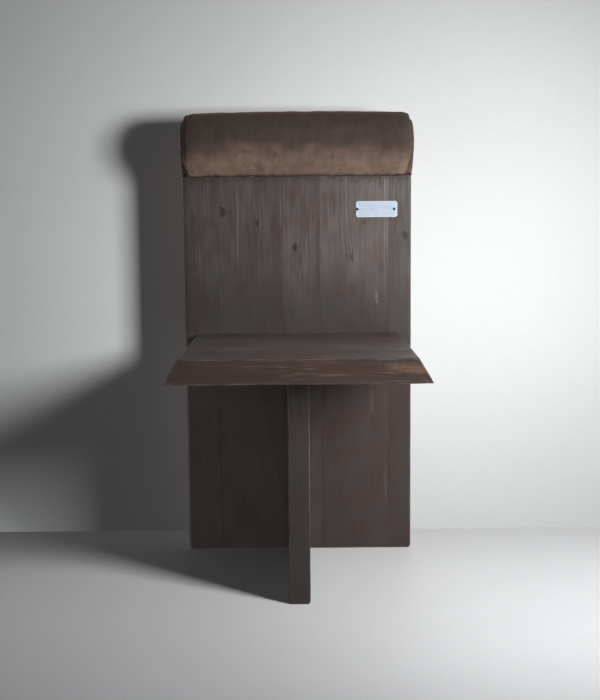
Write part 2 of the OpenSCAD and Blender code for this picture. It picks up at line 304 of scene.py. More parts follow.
class Surface(Graph):
    """A material in the making, whose surface is one Principled shader."""

    def __init__(self, name: str) -> None:
        """Makes the material.

        Args:
            name: Its name.
        """
        self.material = bpy.data.materials.new(name)
        self.material.use_nodes = True
        super().__init__(self.material.node_tree)
        self.shader = self.node("ShaderNodeBsdfPrincipled")
        self.output = self.node("ShaderNodeOutputMaterial", self.shader.outputs["BSDF"])
        self.place = self.node("ShaderNodeTexCoord").outputs["Object"]

    def dressed(self, height: Socket, relief: Pair, **values: Feed) -> bpy.types.Material:
        """Sets the shader's inputs and raises the surface where height is larger.

        Args:
            height: The height, 0 to 1.
            relief: The whole relief in metres, and how much of it shows.
            **values: What goes into each input; an underscore stands for a space in its name.

        Returns:
            The material.
        """
        bump = self.node("ShaderNodeBump")
        for name, value in zip(("Height", "Distance", "Strength"), (height, *relief)):
            self.feed(bump.inputs[name], value)
        for name, value in (*values.items(), ("Normal", bump.outputs["Normal"])):
            self.feed(self.shader.inputs[name.replace("_", " ")], value)
        return self.material


class Grain(Enum):
    """The direction in which a board's fibres run, as the axes across and then along them."""

    UPRIGHT = (0, 1, 2)
    SIDEWAYS = (1, 2, 0)


class Mark(Enum):
    """A natural or worn mark in a board, or painted shade, with its colour and how much of that it shows."""

    KNOT = (srgb(42, 29, 26), 0.88)
    GREY_KNOT = (srgb(40, 40, 38), 0.75)
    OLIVE = (srgb(98, 82, 62), 0.55)
    RUST = (srgb(156, 128, 108), 0.68)
    PALE_STREAK = (srgb(150, 134, 114), 0.3)
    FAINT_STREAK = (srgb(112, 98, 90), 0.22)
    RED_PATCH = (srgb(58, 45, 42), 0.42)
    ORANGE_PATCH = (srgb(112, 74, 60), 0.4)
    SMUDGE = (srgb(40, 35, 34), 0.4)
    # Painted shade, where shade falls on a board.
    SHADE = (srgb(38, 35, 31), 0.5)
    # Painted shade together with a darker tone of the wood.
    DARKER_TONE_AND_SHADE = (srgb(50, 47, 43), 0.5)


@dataclass(frozen=True)
class Spot:
    """One mark: its kind, its middle, and its half size across and along the board's face."""

    mark: Mark
    at: Triple
    across: float
    along: float


@dataclass(frozen=True)
class Facets:
    """The six flat faces of a convex wooden form, in opposite pairs of (outward normal, reach)."""

    pairs: tuple[tuple[tuple[Triple, float], tuple[Triple, float]], ...]

    @classmethod
    def of_panel(cls, half: float, front: float, rear: float, height: float) -> "Facets":
        """Gives the faces of an upright panel that stands on the floor and is covered on top.

        Args:
            half: Half its width.
            front: The y of its front face.
            rear: The y of its rear face.
            height: Its height.

        Returns:
            The faces.
        """
        return cls((
            (((0, -1, 0), -front), ((0, 1, 0), rear)),
            (((1, 0, 0), half), ((-1, 0, 0), half)),
            (((0, 0, 1), height + COVERED), ((0, 0, -1), 0.0)),
        ))

    def depths(self, graph: Surface) -> list[tuple[Socket, ...]]:
        """Returns, pair by pair, how far the shaded point lies inside each face."""
        return [
            tuple(graph.minus(reach, graph.vector("DOT_PRODUCT", graph.place, normal)) for normal, reach in pair)
            for pair in self.pairs
        ]

    @staticmethod
    def to_arris(graph: Surface, depths: Sequence[tuple[Socket, ...]]) -> Socket:
        """Returns the distance from a point on the surface to the nearest arris: the second smallest depth."""
        a, b, c = (graph.least(*pair) for pair in depths)
        return graph.most(graph.least(a, b), graph.least(graph.most(a, b), c))


# The noises of a stained board, along its two axes across and its axis along the grain.
WANDER, WANDER_REACH = Noise((3, 3, 1.3), 1, 0), 0.016
RIPPLE, RIPPLE_REACH = Noise((30, 30, 3), 2, 3), 0.0025
SEASONS = Noise((0.37, 0, 0), 2, 1)
CLUSTERS = Noise((22, 22, 5), 2, 5)
GAPS = Noise((120, 120, 12), 3, 7)
STREAKS = Noise((180, 180, 17), 4, 9)
FIBRES = Noise((1300, 1300, 26), 2, 13)
BLOTCHES = Noise((11, 11, 7), 3, 17)
CLOUDY = Noise((34, 34, 20), 3, 19)
SAW_STAIN = Noise((150, 150, 16), 4, 23)
CHIPS = Noise((120, 120, 30), 3, 29)
SCRATCHES = Noise((420, 420, 18), 3, 31)
SCRATCHED = Noise((30, 30, 9), 2, 37)
BRUSHED_EDGE = Noise((14, 14, 4), 3, 41)
RAGGED = Noise((150, 150, 150), 2, 0)


@dataclass(frozen=True)
class StainedSoftwood:
    """Brushed softwood under a dark stain: growth rings round a pith, fibres, knots and worn arrises.

    The grain is brushed out above the height brushed_from, where a gain sets the tone: partly the board's own,
    partly painted light.
    The range sheltered is where the back leaves the shade under the seat; below it a gain and a tint paint that
    shade lighter or darker and redder or greyer: painted light.
    """

    name: str
    grain: Grain
    pith: Pair
    facets: Facets
    seed: float
    ring: float = 0.007
    tone: float = 1.0
    warmth: float = 0.35
    spots: tuple[Spot, ...] = ()
    sawn_front: bool = False
    brushed_from: float = -1.0
    brushed_over: float = 0.16
    brushed_gain: float = 1.0
    edge_wander: float = 0.3
    sheltered: Pair = (0.34, 0.5)
    sheltered_gain: float = 1.0
    sheltered_red: float = 0.0
    wear: float = 0.55
    knot_bulge: float = 0.005
    season_shift: float = 4.0
    early: Colour = srgb(66, 62, 60)
    late: Colour = srgb(112, 108, 107)
    red: Colour = srgb(73, 54, 51)
    worn: Colour = srgb(124, 107, 97)
    sawn: Colour = srgb(54, 41, 36)

    def material(self) -> bpy.types.Material:
        """Builds the board's own material.

        Returns:
            The material.
        """
        graph = Surface(self.name)
        axes = graph.parts(graph.place)
        across_1, across_2, along = (axes[i] for i in self.grain.value)
        at = graph.join(graph.minus(across_1, self.pith[0]), graph.minus(across_2, self.pith[1]), along)
        cloud = partial(graph.cloud, at, seed=self.seed)
        knots, spots = self._marks(graph)
        ring, strength = self._rings(graph, at, knots)
        late = graph.times(graph.band(ring, (0.52, 0.82), (0.84, 1.0)), strength)
        furrow = graph.band(ring, (0.22, 0.5), (0.52, 0.72))

        edge = graph.times(graph.swing(at, BRUSHED_EDGE, self.seed), self.edge_wander)
        brushed_to = self.brushed_from + self.brushed_over
        brushed = graph.rise(graph.plus(along, edge), self.brushed_from, brushed_to, 0.06, 1.0)
        clusters = graph.rise(cloud(CLUSTERS), 0.4, 0.6, 0.12, 1.0)
        gaps = graph.rise(cloud(GAPS), 0.36, 0.6, 0.1, 1.0)
        shown = graph.times(clusters, gaps, brushed)
        late_shown = graph.times(late, shown)
        streaks, fibres, blotches, cloudy = (cloud(kind) for kind in (STREAKS, FIBRES, BLOTCHES, CLOUDY))

        colour = graph.mix(late_shown, self.early, self.late)
        reddened = graph.plus(
            graph.rise(blotches, 0.4, 0.62, 0.0, self.warmth),
            graph.rise(cloudy, 0.45, 0.7, 0.0, 0.3),
            # Painted light: the tint of the shade under the seat.
            graph.rise(along, *self.sheltered, self.sheltered_red, 0.0),
        )
        colour = graph.mix(reddened, colour, self.red)
        depth = graph.plus(0.2, graph.times(brushed, 0.8))
        sides = graph.times(depth, graph.rise(streaks, 0.25, 0.75, -0.14, 0.14))
        sides = graph.minus(sides, graph.times(furrow, shown, 0.11))
        uneven = graph.times(graph.rise(blotches, 0.25, 0.7, 1.09, 0.9), graph.rise(cloudy, 0.32, 0.68, 1.1, 0.9))
        uneven = graph.times(graph.minus(uneven, 1.0), graph.rise(brushed, 0.0, 1.0, 0.4, 1.0))
        # The tone of the brushed part: partly the board's own, partly painted light.
        gain = graph.plus(1.0, graph.times(brushed, self.brushed_gain - 1.0))
        light = graph.times(
            graph.plus(1.0, sides),
            graph.rise(fibres, 0.2, 0.8, 0.9, 1.1),
            graph.times(graph.plus(uneven, 1.0), self.tone),
            # Painted light: the shade under the seat is painted lighter or darker.
            graph.times(gain, graph.rise(along, *self.sheltered, self.sheltered_gain, 1.0)),
        )
        colour = graph.shade(colour, light)
        for spot, mask in spots:
            stain, share = spot.mark.value
            colour = graph.mix(graph.times(mask, share), colour, stain)

        depths = self.facets.depths(graph)
        saw_cut: Feed = 0.0
        if self.sawn_front:
            saw_cut = graph.rise(depths[0][0], 0.0018, 0.0032, 1.0, 0.0)
            patches = graph.rise(cloud(SAW_STAIN), 0.4, 0.7, 0.0, 0.8)
            scratches = graph.rise(cloud(SCRATCHES), 0.55, 0.72, 0.0, 0.28)
            scratches = graph.times(scratches, graph.rise(cloud(SCRATCHED), 0.42, 0.66))
            colour = graph.shade(colour, graph.minus(1.0, graph.times(saw_cut, 0.64)))
            stained = graph.times(saw_cut, graph.plus(0.4, graph.times(patches, 0.5)))
            colour = graph.mix(stained, colour, self.sawn)
            colour = graph.mix(graph.times(saw_cut, scratches), colour, self.worn)
        chips = graph.rise(cloud(CHIPS), 0.32, 0.7, 0.0002, 0.0034)
        near = graph.math("DIVIDE", self.facets.to_arris(graph, depths), chips)
        colour = graph.mix(graph.rise(near, 0.2, 1.0, self.wear, 0.0), colour, self.worn)

        rough = graph.rise(late_shown, 0.0, 1.0, 0.5, 0.38)
        rough = graph.plus(rough, graph.rise(streaks, 0.2, 0.8, 0.05, -0.05), graph.times(saw_cut, 0.14))
        height = graph.plus(
            graph.times(late_shown, 0.5), graph.times(fibres, 0.3), graph.times(fibres, saw_cut, 1.2)
        )
        return graph.dressed(height, (0.00018, 0.7), Base_Color=colour, Roughness=rough, Specular_IOR_Level=0.15)

    def _rings(self, graph: Surface, at: Socket, knots: Feed) -> tuple[Socket, Socket]:
        """Grows the rings round the pith.

        Args:
            graph: The material in the making.
            at: The place, from the pith.
            knots: How far the rings bulge round the knots.

        Returns:
            The place within a year's ring, 0 to 1, and how strongly that year's late wood shows.
        """
        bent = at
        for kind, reach in ((WANDER, WANDER_REACH), (RIPPLE, RIPPLE_REACH)):
            bent = graph.vector("ADD", bent, graph.drift(at, kind, self.seed, reach))
        radius = graph.vector("LENGTH", graph.vector("MULTIPLY", bent, (1, 1, 0)))
        radius = graph.plus(radius, graph.times(knots, self.knot_bulge))
        years = graph.math("DIVIDE", radius, self.ring)
        seasons = graph.cloud(graph.join(years, 0.0, 0.0), SEASONS, self.seed)
        years = graph.plus(years, graph.times(seasons, self.season_shift))
        vigour = graph.node("ShaderNodeTexWhiteNoise", noise_dimensions="1D")
        graph.feed(vigour.inputs["W"], graph.math("FLOOR", years))
        return graph.math("FRACT", years), graph.rise(vigour.outputs["Value"], 0.2, 1.0, 0.1, 0.65)

    def _marks(self, graph: Surface) -> tuple[Feed, list[tuple[Spot, Socket]]]:
        """Adds the board's marks.

        Args:
            graph: The material in the making.

        Returns:
            How far the rings bulge round the knots, and each mark with its mask.
        """
        bulge: Feed = 0.0
        found = []
        for number, spot in enumerate(self.spots):
            away = graph.vector("SUBTRACT", graph.place, spot.at)
            shape = [1 / spot.across] * 3
            shape[self.grain.value[2]] = 1 / spot.along
            size = graph.vector("LENGTH", graph.vector("MULTIPLY", away, shape))
            ragged = graph.cloud(graph.place, RAGGED, self.seed + number)
            size = graph.plus(size, graph.rise(ragged, 0.2, 0.8, -0.35, 0.35))
            found.append((spot, graph.rise(size, 0.3, 1.15, 1.0, 0.0)))
            if spot.mark in (Mark.KNOT, Mark.GREY_KNOT):
                bulge = graph.plus(bulge, graph.rise(size, 0.3, 4.5, 1.0, 0.0))
        return bulge, found


# The noises of the velvet, along the bolster's axis and round it.
PATCHES = Noise((24, 34, 34), 4, 2)
STROKES = Noise((62, 9, 9), 3, 5)
BROAD_SHADE_WANDER = Noise((5, 8, 8), 1, 7)
CRUSHED = Noise((60, 34, 34), 4, 11)
PILE = Noise((2600, 2600, 2600), 1, 13)
DENTS = Noise((160, 60, 60), 3, 17)
DABS = Noise((52, 62, 62), 3, 23)
SCALLOPS = Noise((75, 8, 8), 2, 29)


@dataclass(frozen=True)
class Velvet:
    """Brown cotton velvet, painted darker on its upper half as painted shade and lighter on its lower half as
    painted light.
    """

    name: str
    centre: Triple
    radius: float
    # Less of the painted light where this is lower: the end caps take a darker copy, as painted shade.
    painted_light_shift: float = 0.0
    rest_z: float = BACK_TOP
    seam_x: float = SEAM_X
    # The colours of the painted shade and of the painted light.
    shaded_colour: Colour = srgb(62, 54, 50)
    lit_colour: Colour = srgb(124, 103, 90)
    sheen: Colour = srgb(190, 160, 138)

    def material(self) -> bpy.types.Material:
        """Builds the velvet.

        Returns:
            The material.
        """
        graph = Surface(self.name)
        at = graph.vector("SUBTRACT", graph.place, self.centre)
        # Painted shade on the upper half and painted light on the lower half, with a wandering border between
        # them.
        shade_height = graph.math("DIVIDE", graph.parts(at)[2], self.radius)
        for kind, share in ((PATCHES, 0.7), (STROKES, 0.12), (BROAD_SHADE_WANDER, 0.8)):
            shade_height = graph.plus(shade_height, graph.times(graph.swing(at, kind), share))
        brushed = graph.rise(graph.minus(shade_height, self.painted_light_shift), -1.12, 0.16, 1.0, 0.0)
        colour = graph.mix(brushed, self.shaded_colour, self.lit_colour)
        crushed = graph.rise(graph.cloud(at, CRUSHED), 0.3, 0.7, 0.86, 1.1)
        # Dark dabs mottle the border between the painted shade and the painted light.
        dabs = graph.rise(graph.cloud(at, DABS), 0.6, 0.72, 1.0, 0.78)
        half_way = graph.band(brushed, (0.1, 0.4), (0.75, 0.98), 0.25)
        dabbed = graph.plus(1.0, graph.times(half_way, graph.minus(dabs, 1.0)))

        along, _, height_up = graph.parts(graph.place)
        from_middle = graph.math("ABSOLUTE", along)
        # Painted shade where the cloth meets the panel's top edge: a scalloped dark line, which reaches higher
        # beside the seams.
        scallops = graph.rise(graph.cloud(at, SCALLOPS), 0.4, 0.7, 0.0, 0.0045)
        contact_shade_reach = graph.plus(scallops, graph.rise(from_middle, self.seam_x - 0.02, self.seam_x, 0.0045, 0.013))
        above = graph.math("DIVIDE", graph.minus(height_up, self.rest_z - 0.001), contact_shade_reach)
        pile = graph.cloud(at, PILE)
        light = graph.times(
            crushed,
            dabbed,
            graph.rise(above, 0.2, 1.0, 0.36, 1.0),
            # Painted shade: a dark band just inside the left seam.
            graph.rise(along, -self.seam_x + 0.0055, -self.seam_x + 0.0105, 0.4, 1.0),
            # Painted highlight: a light line just inside each seam.
            graph.rise(from_middle, self.seam_x - 0.0045, self.seam_x - 0.0012, 1.0, 1.3),
            # Painted shade: darker towards the left end.
            graph.rise(along, -self.seam_x, -0.03, 0.92, 1.01),
            graph.rise(pile, 0.2, 0.8, 0.86, 1.14),
        )
        height = graph.plus(graph.times(pile, 0.35), graph.cloud(at, DENTS))
        return graph.dressed(
            height, (0.0005, 0.55), Base_Color=graph.shade(colour, light), Roughness=0.9, Specular_IOR_Level=0.08,
            Sheen_Weight=0.22, Sheen_Roughness=0.4, Sheen_Tint=self.sheen,
        )


# The noises of the metal, beside its lines.
SMEARS = Noise((70, 70, 70), 3, 4)
SHEEN_PATCHES = Noise((45, 45, 90), 3, 9)


@dataclass(frozen=True)
class Metal:
    """Metal with fine lines along one axis and faint wear; if its edges are given, painted sheen and a painted
    highlight on its border.
    """

    name: str
    colour: Colour
    roughness: float
    stretch: Triple
    contrast: float = 0.12
    metallic: float = 1.0
    border: tuple[float, ...] = ()
    highlight_colour: Colour = srgb(200, 209, 220)

    def material(self) -> bpy.types.Material:
        """Builds the metal.

        Returns:
            The material.
        """
        graph = Surface(self.name)
        lines = graph.cloud(graph.place, Noise(self.stretch, 3, 1))
        smears = graph.cloud(graph.place, SMEARS)
        light = graph.rise(lines, 0.2, 0.8, 1 - self.contrast, 1.0)
        light = graph.times(light, graph.rise(smears, 0.2, 0.8, 0.92, 1.0))
        rough = graph.rise(lines, 0.2, 0.8, -0.05, 0.07)
        rough = graph.plus(rough, graph.rise(smears, 0.3, 0.7, self.roughness - 0.05, self.roughness + 0.05))
        colour: Feed = self.colour
        if self.border:
            left, right, foot, head = self.border
            across, _, up = graph.parts(graph.place)
            sideways = graph.least(graph.minus(across, left), graph.minus(right, across))
            upwards = graph.least(graph.minus(up, foot), graph.minus(head, up))
            # Painted highlight along the border, where the rim would catch the light, and painted sheen in patches
            # across the plate.
            rim_highlight = graph.rise(graph.least(graph.times(sideways, 0.6), upwards), 0.0012, 0.0034, 0.75, 0.0)
            painted_sheen = graph.rise(graph.cloud(graph.place, SHEEN_PATCHES), 0.35, 0.65, 0.0, 0.3)
            colour = graph.mix(graph.most(rim_highlight, painted_sheen), colour, self.highlight_colour)
        colour = graph.shade(colour, light)
        return graph.dressed(lines, (0.00003, 0.6), Base_Color=colour, Roughness=rough, Metallic=self.metallic)


@dataclass(frozen=True)
class BareWood:
    """Unstained hardwood for the dowels and the bolster's core, with fine fibres along one axis."""

    name: str
    stretch: Triple
    pale: Colour = srgb(205, 172, 130)
    dark: Colour = srgb(160, 118, 76)

    def material(self) -> bpy.types.Material:
        """Builds the wood.

        Returns:
            The material.
        """
        graph = Surface(self.name)
        fibres = graph.cloud(graph.place, Noise(self.stretch, 3, 1))
        flecks = graph.cloud(graph.place, Noise(tuple(3 * s for s in self.stretch), 2, 6))
        colour = graph.mix(graph.rise(fibres, 0.3, 0.7), self.pale, self.dark)
        colour = graph.shade(colour, graph.rise(flecks, 0.3, 0.7, 0.9, 1.05))
        rough = graph.rise(flecks, 0.2, 0.8, 0.55, 0.7)
        return graph.dressed(fibres, (0.0001, 1.0), Base_Color=colour, Roughness=rough)


@dataclass(frozen=True)
class CellFoam:
    """Ivory seat foam with open cells."""

    name: str
    cells_per_metre: float = 900.0
    pale: Colour = srgb(226, 214, 180)
    dark: Colour = srgb(190, 172, 132)

    def material(self) -> bpy.types.Material:
        """Builds the foam.

        Returns:
            The material.
        """
        graph = Surface(self.name)
        cells = graph.node("ShaderNodeTexVoronoi", graph.place, feature="F1")
        graph.feed(cells.inputs["Scale"], self.cells_per_metre)
        open_cell = graph.rise(cells.outputs["Distance"], 0.1, 0.6)
        colour = graph.mix(open_cell, self.dark, self.pale)
        return graph.dressed(open_cell, (0.0004, 1.0), Base_Color=colour, Roughness=0.95)


# The noises of the studio's floor and wall.
UNEVEN_PAINT = Noise((2.2, 2.2, 2.2), 4, 3)
PAINT_SKIN = Noise((60, 60, 60), 3, 8)


@dataclass(frozen=True)
class StudioPaint:
    """Pale matt paint or screed near the chair, which runs out into the plain backdrop further off."""

    name: str
    colour: Colour
    roughness: float
    centre: Triple
    gloss: float = 0.5
    one_sided: bool = False
    runs_out: Pair = (0.9, 1.35)

    def material(self) -> bpy.types.Material:
        """Builds the paint; a one-sided wall is clear from behind.

        Returns:
            The material.
        """
        graph = Surface(self.name)
        uneven, skin = (graph.cloud(graph.place, kind) for kind in (UNEVEN_PAINT, PAINT_SKIN))
        light = graph.times(graph.rise(uneven, 0.25, 0.75, 0.96, 1.0), graph.rise(skin, 0.25, 0.75, 0.985, 1.0))
        made = graph.dressed(
            skin, (0.0002, 0.4), Base_Color=graph.shade(self.colour, light), Roughness=self.roughness,
            Specular_IOR_Level=self.gloss,
        )
        plain = graph.node("ShaderNodeEmission", BACKDROP)
        away = graph.vector("LENGTH", graph.vector("SUBTRACT", graph.place, self.centre))
        seen = graph.node("ShaderNodeLightPath").outputs["Is Camera Ray"]
        far = graph.times(graph.rise(away, *self.runs_out), seen)
        surface = graph.either(far, graph.shader.outputs[0], plain.outputs[0])
        if self.one_sided:
            clear = graph.node("ShaderNodeBsdfTransparent")
            behind = graph.node("ShaderNodeNewGeometry").outputs["Backfacing"]
            surface = graph.either(behind, surface, clear.outputs[0])
        graph.feed(graph.output.inputs["Surface"], surface)
        return made


def piece(name: str, mesh: bmesh.types.BMesh, material: bpy.types.Material) -> Piece:
    """Turns a finished bmesh into an object at the origin.

    Args:
        name: The piece's name.
        mesh: The shape; it is freed.
        material: Its finish.

    Returns:
        The object.
    """
    data = bpy.data.meshes.new(name)
    mesh.normal_update()
    mesh.to_mesh(data)
    mesh.free()
    data.materials.append(material)
    data.polygons.foreach_set("use_smooth", [True] * len(data.polygons))
    made = bpy.data.objects.new(name, data)
    bpy.context.scene.collection.objects.link(made)
    LOG.info("%s: %d faces", name, len(data.polygons))
    return made


def stand_in(made: Piece, node: str) -> Piece:
    """Lets a piece ride on the chair in the place of a node.

    Args:
        made: The piece.
        node: The node that it replaces.

    Returns:
        The piece.
    """
    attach(made, "root")
    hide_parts(node)
    return made


def in_plane(axis: int, *places: float) -> Callable[[Edge], bool]:
    """Gives a test of whether an edge lies in one of some planes across an axis.

    Args:
        axis: The axis, 0 to 2.
        *places: Where each plane crosses it.

    Returns:
        The test.
    """

    def test(edge: Edge) -> bool:
        """Says whether both ends of an edge lie in one of the planes."""
        return any(all(abs(vert.co[axis] - place) < TOUCH for vert in edge.verts) for place in places)

    return test


def hand_planed(seed: float, depth: float = 0.00016) -> Relief:
    """Gives the faint waves of a hand-planed face.

    Args:
        seed: Moves the pattern.
        depth: How deep the waves are.

    Returns:
        A function for Board.relief.
    """
    across, along = 17, 7

    def height(place: Vector, _normal: Vector) -> float:
        """Returns the height of the face there."""
        return depth * noise.noise(Vector((place.x * across + seed, place.y * across, place.z * along - seed)))

    return height


@dataclass(frozen=True)
class Cut:
    """A flat saw cut; the wood on the side that the normal points to falls off."""

    point: Triple
    normal: Triple


class Board:
    """A board in the making, from a planed blank to a finished piece."""

    def __init__(self, low: Triple, high: Triple) -> None:
        """Planes a square blank.

        Args:
            low: Its lowest corner.
            high: Its highest corner.
        """
        self.low, self.high = Vector(low), Vector(high)
        self.mesh = bmesh.new()
        bmesh.ops.create_cube(self.mesh, size=1.0)
        bmesh.ops.scale(self.mesh, vec=self.high - self.low, verts=self.mesh.verts)
        bmesh.ops.translate(self.mesh, vec=(self.low + self.high) / 2, verts=self.mesh.verts)

    def _divide(self, cut: Cut, tolerance: float, take_off: bool) -> list[Edge]:
        """Divides the faces by a flat cut.

        Args:
            cut: The cut.
            tolerance: How near a point lies to the cut to count as on it.
            take_off: Whether what lies beyond the cut goes.

        Returns:
            The edges along the cut.
        """
        found = bmesh.ops.bisect_plane(
            self.mesh, geom=[*self.mesh.verts, *self.mesh.edges, *self.mesh.faces], dist=tolerance,
            plane_co=cut.point, plane_no=cut.normal, clear_outer=take_off,
        )
        return [part for part in found["geom_cut"] if isinstance(part, Edge)]

    def saw(self, *cuts: Cut) -> None:
        """Takes off what lies beyond each cut and closes the wood there.

        Args:
            *cuts: The saw cuts.
        """
        for cut in cuts:
            rim = [edge for edge in self._divide(cut, 1e-7, True) if edge.is_boundary]
            if rim:
                bmesh.ops.holes_fill(self.mesh, edges=rim, sides=0)

    def round_off(self, width: float, segments: int, chosen: Callable[[Edge], bool]) -> None:
        """Rounds the sharp edges that are chosen.

        Args:
            width: How far the rounding reaches along each face.
            segments: Flat strips in the rounding.
            chosen: Says of an edge whether it is rounded.
        """
        edges = [edge for edge in self.mesh.edges if edge.calc_face_angle(0.0) > SHARP and chosen(edge)]
        if edges:
            bmesh.ops.bevel(
                self.mesh, geom=edges, offset=width, offset_type="OFFSET", segments=segments, profile=0.5,
                affect="EDGES", clamp_overlap=False, material=-1,
            )

    def rule(self, *steps: float) -> None:
        """Divides the faces by flat cuts across each axis, so that they can take a relief.

        Args:
            *steps: The spacing of the cuts along x, y and z.
        """
        for axis, step in enumerate(steps):
            length = self.high[axis] - self.low[axis]
            count = max(1, round(length / step))
            for number in range(1, count):
                point, normal = self.low.copy(), Vector((0, 0, 0))
                point[axis] += length * number / count
                normal[axis] = 1
                self._divide(Cut(tuple(point), tuple(normal)), 1e-6, False)

    def relief(self, height: Relief) -> None:
        """Moves every point along its normal.

        Args:
            height: Gives the movement from a point's place and its normal.
        """
        self.mesh.normal_update()
        moves = [(vert, vert.normal * height(vert.co, vert.normal)) for vert in self.mesh.verts]
        for vert, move in moves:
            vert.co += move

    def done(self, name: str, finish: StainedSoftwood, node: str) -> Piece:
        """Finishes the board as the piece that stands for a node.

        Args:
            name: The piece's name.
            finish: Its stained finish.
            node: The node that it replaces.

        Returns:
            The piece.
        """
        bmesh.ops.recalc_face_normals(self.mesh, faces=self.mesh.faces)
        made = piece(name, self.mesh, finish.material())
        made.modifiers.new("even shading", "WEIGHTED_NORMAL").keep_sharp = True
        return stand_in(made, node)


@dataclass
class BackPanel:
    """Five staves, edge-glued into the back that runs from the floor to the bolster."""

    width: float = 0.460
    height: float = BACK_TOP
    thick: float = PLANK
    seams: tuple[float, ...] = (-0.230, -0.160, -0.030, 0.045, 0.185, 0.230)
    chamfer: float = 0.004
    foot_round: float = 0.006
    top_round: float = 0.003
    arris: float = 0.0007
    seam_ease: float = 0.0004
    grid: Triple = (0.011, 0.0127, 0.026)

    def finishes(self) -> list[StainedSoftwood]:
        """Gives each stave's finish, with its pith behind or before the face.

        Returns:
            The finishes, from the left.
        """
        facets = Facets.of_panel(self.width / 2, FACE_Y, FACE_Y + self.thick, self.height)

        def stave(number: int, pith: Pair, marks: Sequence[tuple], **more: float) -> StainedSoftwood:
            """Gives one stave's finish, with painted shade under the bolster.

            Args:
                number: The stave's number, from the left.
                pith: Its pith, as x and y.
                marks: Each mark's kind, x, z and half sizes across and along.
                **more: Further fields of the finish.

            Returns:
                The finish.
            """
            middle = (self.seams[number - 1] + self.seams[number]) / 2
            # Painted shade: a dark band along the stave's top, where the bolster shades it.
            bolster_shade = (Mark.SHADE, middle, self.height + 0.006, 0.16, 0.019)
            spots = tuple(Spot(mark, (x, FACE_Y, z), *size) for mark, x, z, *size in (*marks, bolster_shade))
            name = f"stain_stave_{number}"
            return StainedSoftwood(name, Grain.UPRIGHT, pith, facets, number * 4.3, spots=spots, **more)

        # The tones and the gains above the seat rise from the left stave to the right: partly the staves' own
        # tone, partly painted shade for the light's falloff towards the left. Under the seat, each stave's gain
        # and tint paint its shade lighter or darker: painted light.
        return [
            stave(1, (-0.42, 0.26), (
                # Painted shade along the left edge, away from the light, together with a darker tone of the wood
                # there.
                (Mark.SHADE, -0.238, 0.6, 0.032, 0.4),
                (Mark.RED_PATCH, -0.205, 0.585, 0.017, 0.028),
            ), tone=0.62, brushed_from=0.5, brushed_gain=1.4, sheltered_gain=1.84, sheltered_red=-0.2,
                warmth=0.3),
            stave(2, (0.10, 0.30), (
                (Mark.KNOT, -0.1497, 0.6966, 0.0072, 0.012),
                (Mark.KNOT, -0.0814, 0.674, 0.005, 0.008),
                (Mark.SMUDGE, -0.1538, 0.557, 0.009, 0.016),
                (Mark.RED_PATCH, -0.1338, 0.539, 0.022, 0.03),
                (Mark.RED_PATCH, -0.042, 0.61, 0.013, 0.12),
            ), tone=0.69, brushed_from=0.5, brushed_gain=1.42, sheltered_gain=1.73, sheltered_red=-0.1,
                warmth=0.15),
            stave(3, (-0.20, 0.25), (
                (Mark.KNOT, -0.0051, 0.623, 0.0058, 0.011),
                (Mark.RED_PATCH, 0.041, 0.62, 0.006, 0.2),
            ), tone=0.77, brushed_from=0.5, brushed_gain=1.58, sheltered_gain=1.33, sheltered_red=0.12,
                warmth=0.15),
            stave(4, (0.32, 0.31), (
                (Mark.GREY_KNOT, 0.1103, 0.6059, 0.0044, 0.012),
                (Mark.SMUDGE, 0.1347, 0.6742, 0.008, 0.006),
                (Mark.RED_PATCH, 0.1101, 0.537, 0.005, 0.016),
                (Mark.PALE_STREAK, 0.1609, 0.522, 0.0018, 0.013),
                (Mark.FAINT_STREAK, 0.158, 0.527, 0.004, 0.02),
                (Mark.RED_PATCH, 0.1548, 0.503, 0.005, 0.012),
                (Mark.ORANGE_PATCH, 0.161, 0.7301, 0.0065, 0.013),
                (Mark.FAINT_STREAK, 0.1504, 0.31, 0.004, 0.03),
                (Mark.FAINT_STREAK, 0.1783, 0.14, 0.003, 0.05),
            ), ring=0.006, tone=0.79, brushed_from=0.488, brushed_gain=1.9, edge_wander=-0.16, sheltered_gain=1.1,
                sheltered_red=0.24, warmth=0.08),
            stave(5, (0.05, 0.24), (
                (Mark.GREY_KNOT, 0.2176, 0.6474, 0.0072, 0.012),
            ), ring=0.006, tone=0.93, brushed_from=0.5, brushed_gain=1.58, sheltered_gain=0.9, sheltered_red=0.24,
                warmth=0.05),
        ]

    def build(self) -> list[Piece]:
        """Builds the five staves.

        Returns:
            The pieces, from the left.
        """
        half, back = self.width / 2, FACE_Y + self.thick
        made = []
        for number, finish in enumerate(self.finishes()):
            left, right = self.seams[number], self.seams[number + 1]
            board = Board((left, FACE_Y, 0), (right, back, self.height))
            for side in (-1, 1):
                edge_x = side * half
                if abs(edge_x - (left if side < 0 else right)) > TOUCH:
                    continue
                outer = in_plane(0, edge_x)
                for width, segments, z in ((self.foot_round, 5, 0.0), (self.top_round, 4, self.height)):
                    level = in_plane(2, z)
                    board.round_off(width, segments, lambda edge: outer(edge) and level(edge))
                cut_x = side * (half - self.chamfer)
                board.saw(Cut((cut_x, FACE_Y, 0), (side, -1, 0)), Cut((cut_x, back, 0), (side, 1, 0)))
            glued = in_plane(0, *(x for x in (left, right) if abs(x) < half - TOUCH))
            board.round_off(self.arris, 2, lambda edge: not glued(edge))
            board.round_off(self.seam_ease, 1, glued)
            board.rule(*self.grid)
            board.relief(hand_planed(number * SEED_STEP))
            made.append(board.done(f"plank_back_{number + 1}", finish, f"back_stave_{number + 1}"))
        return made


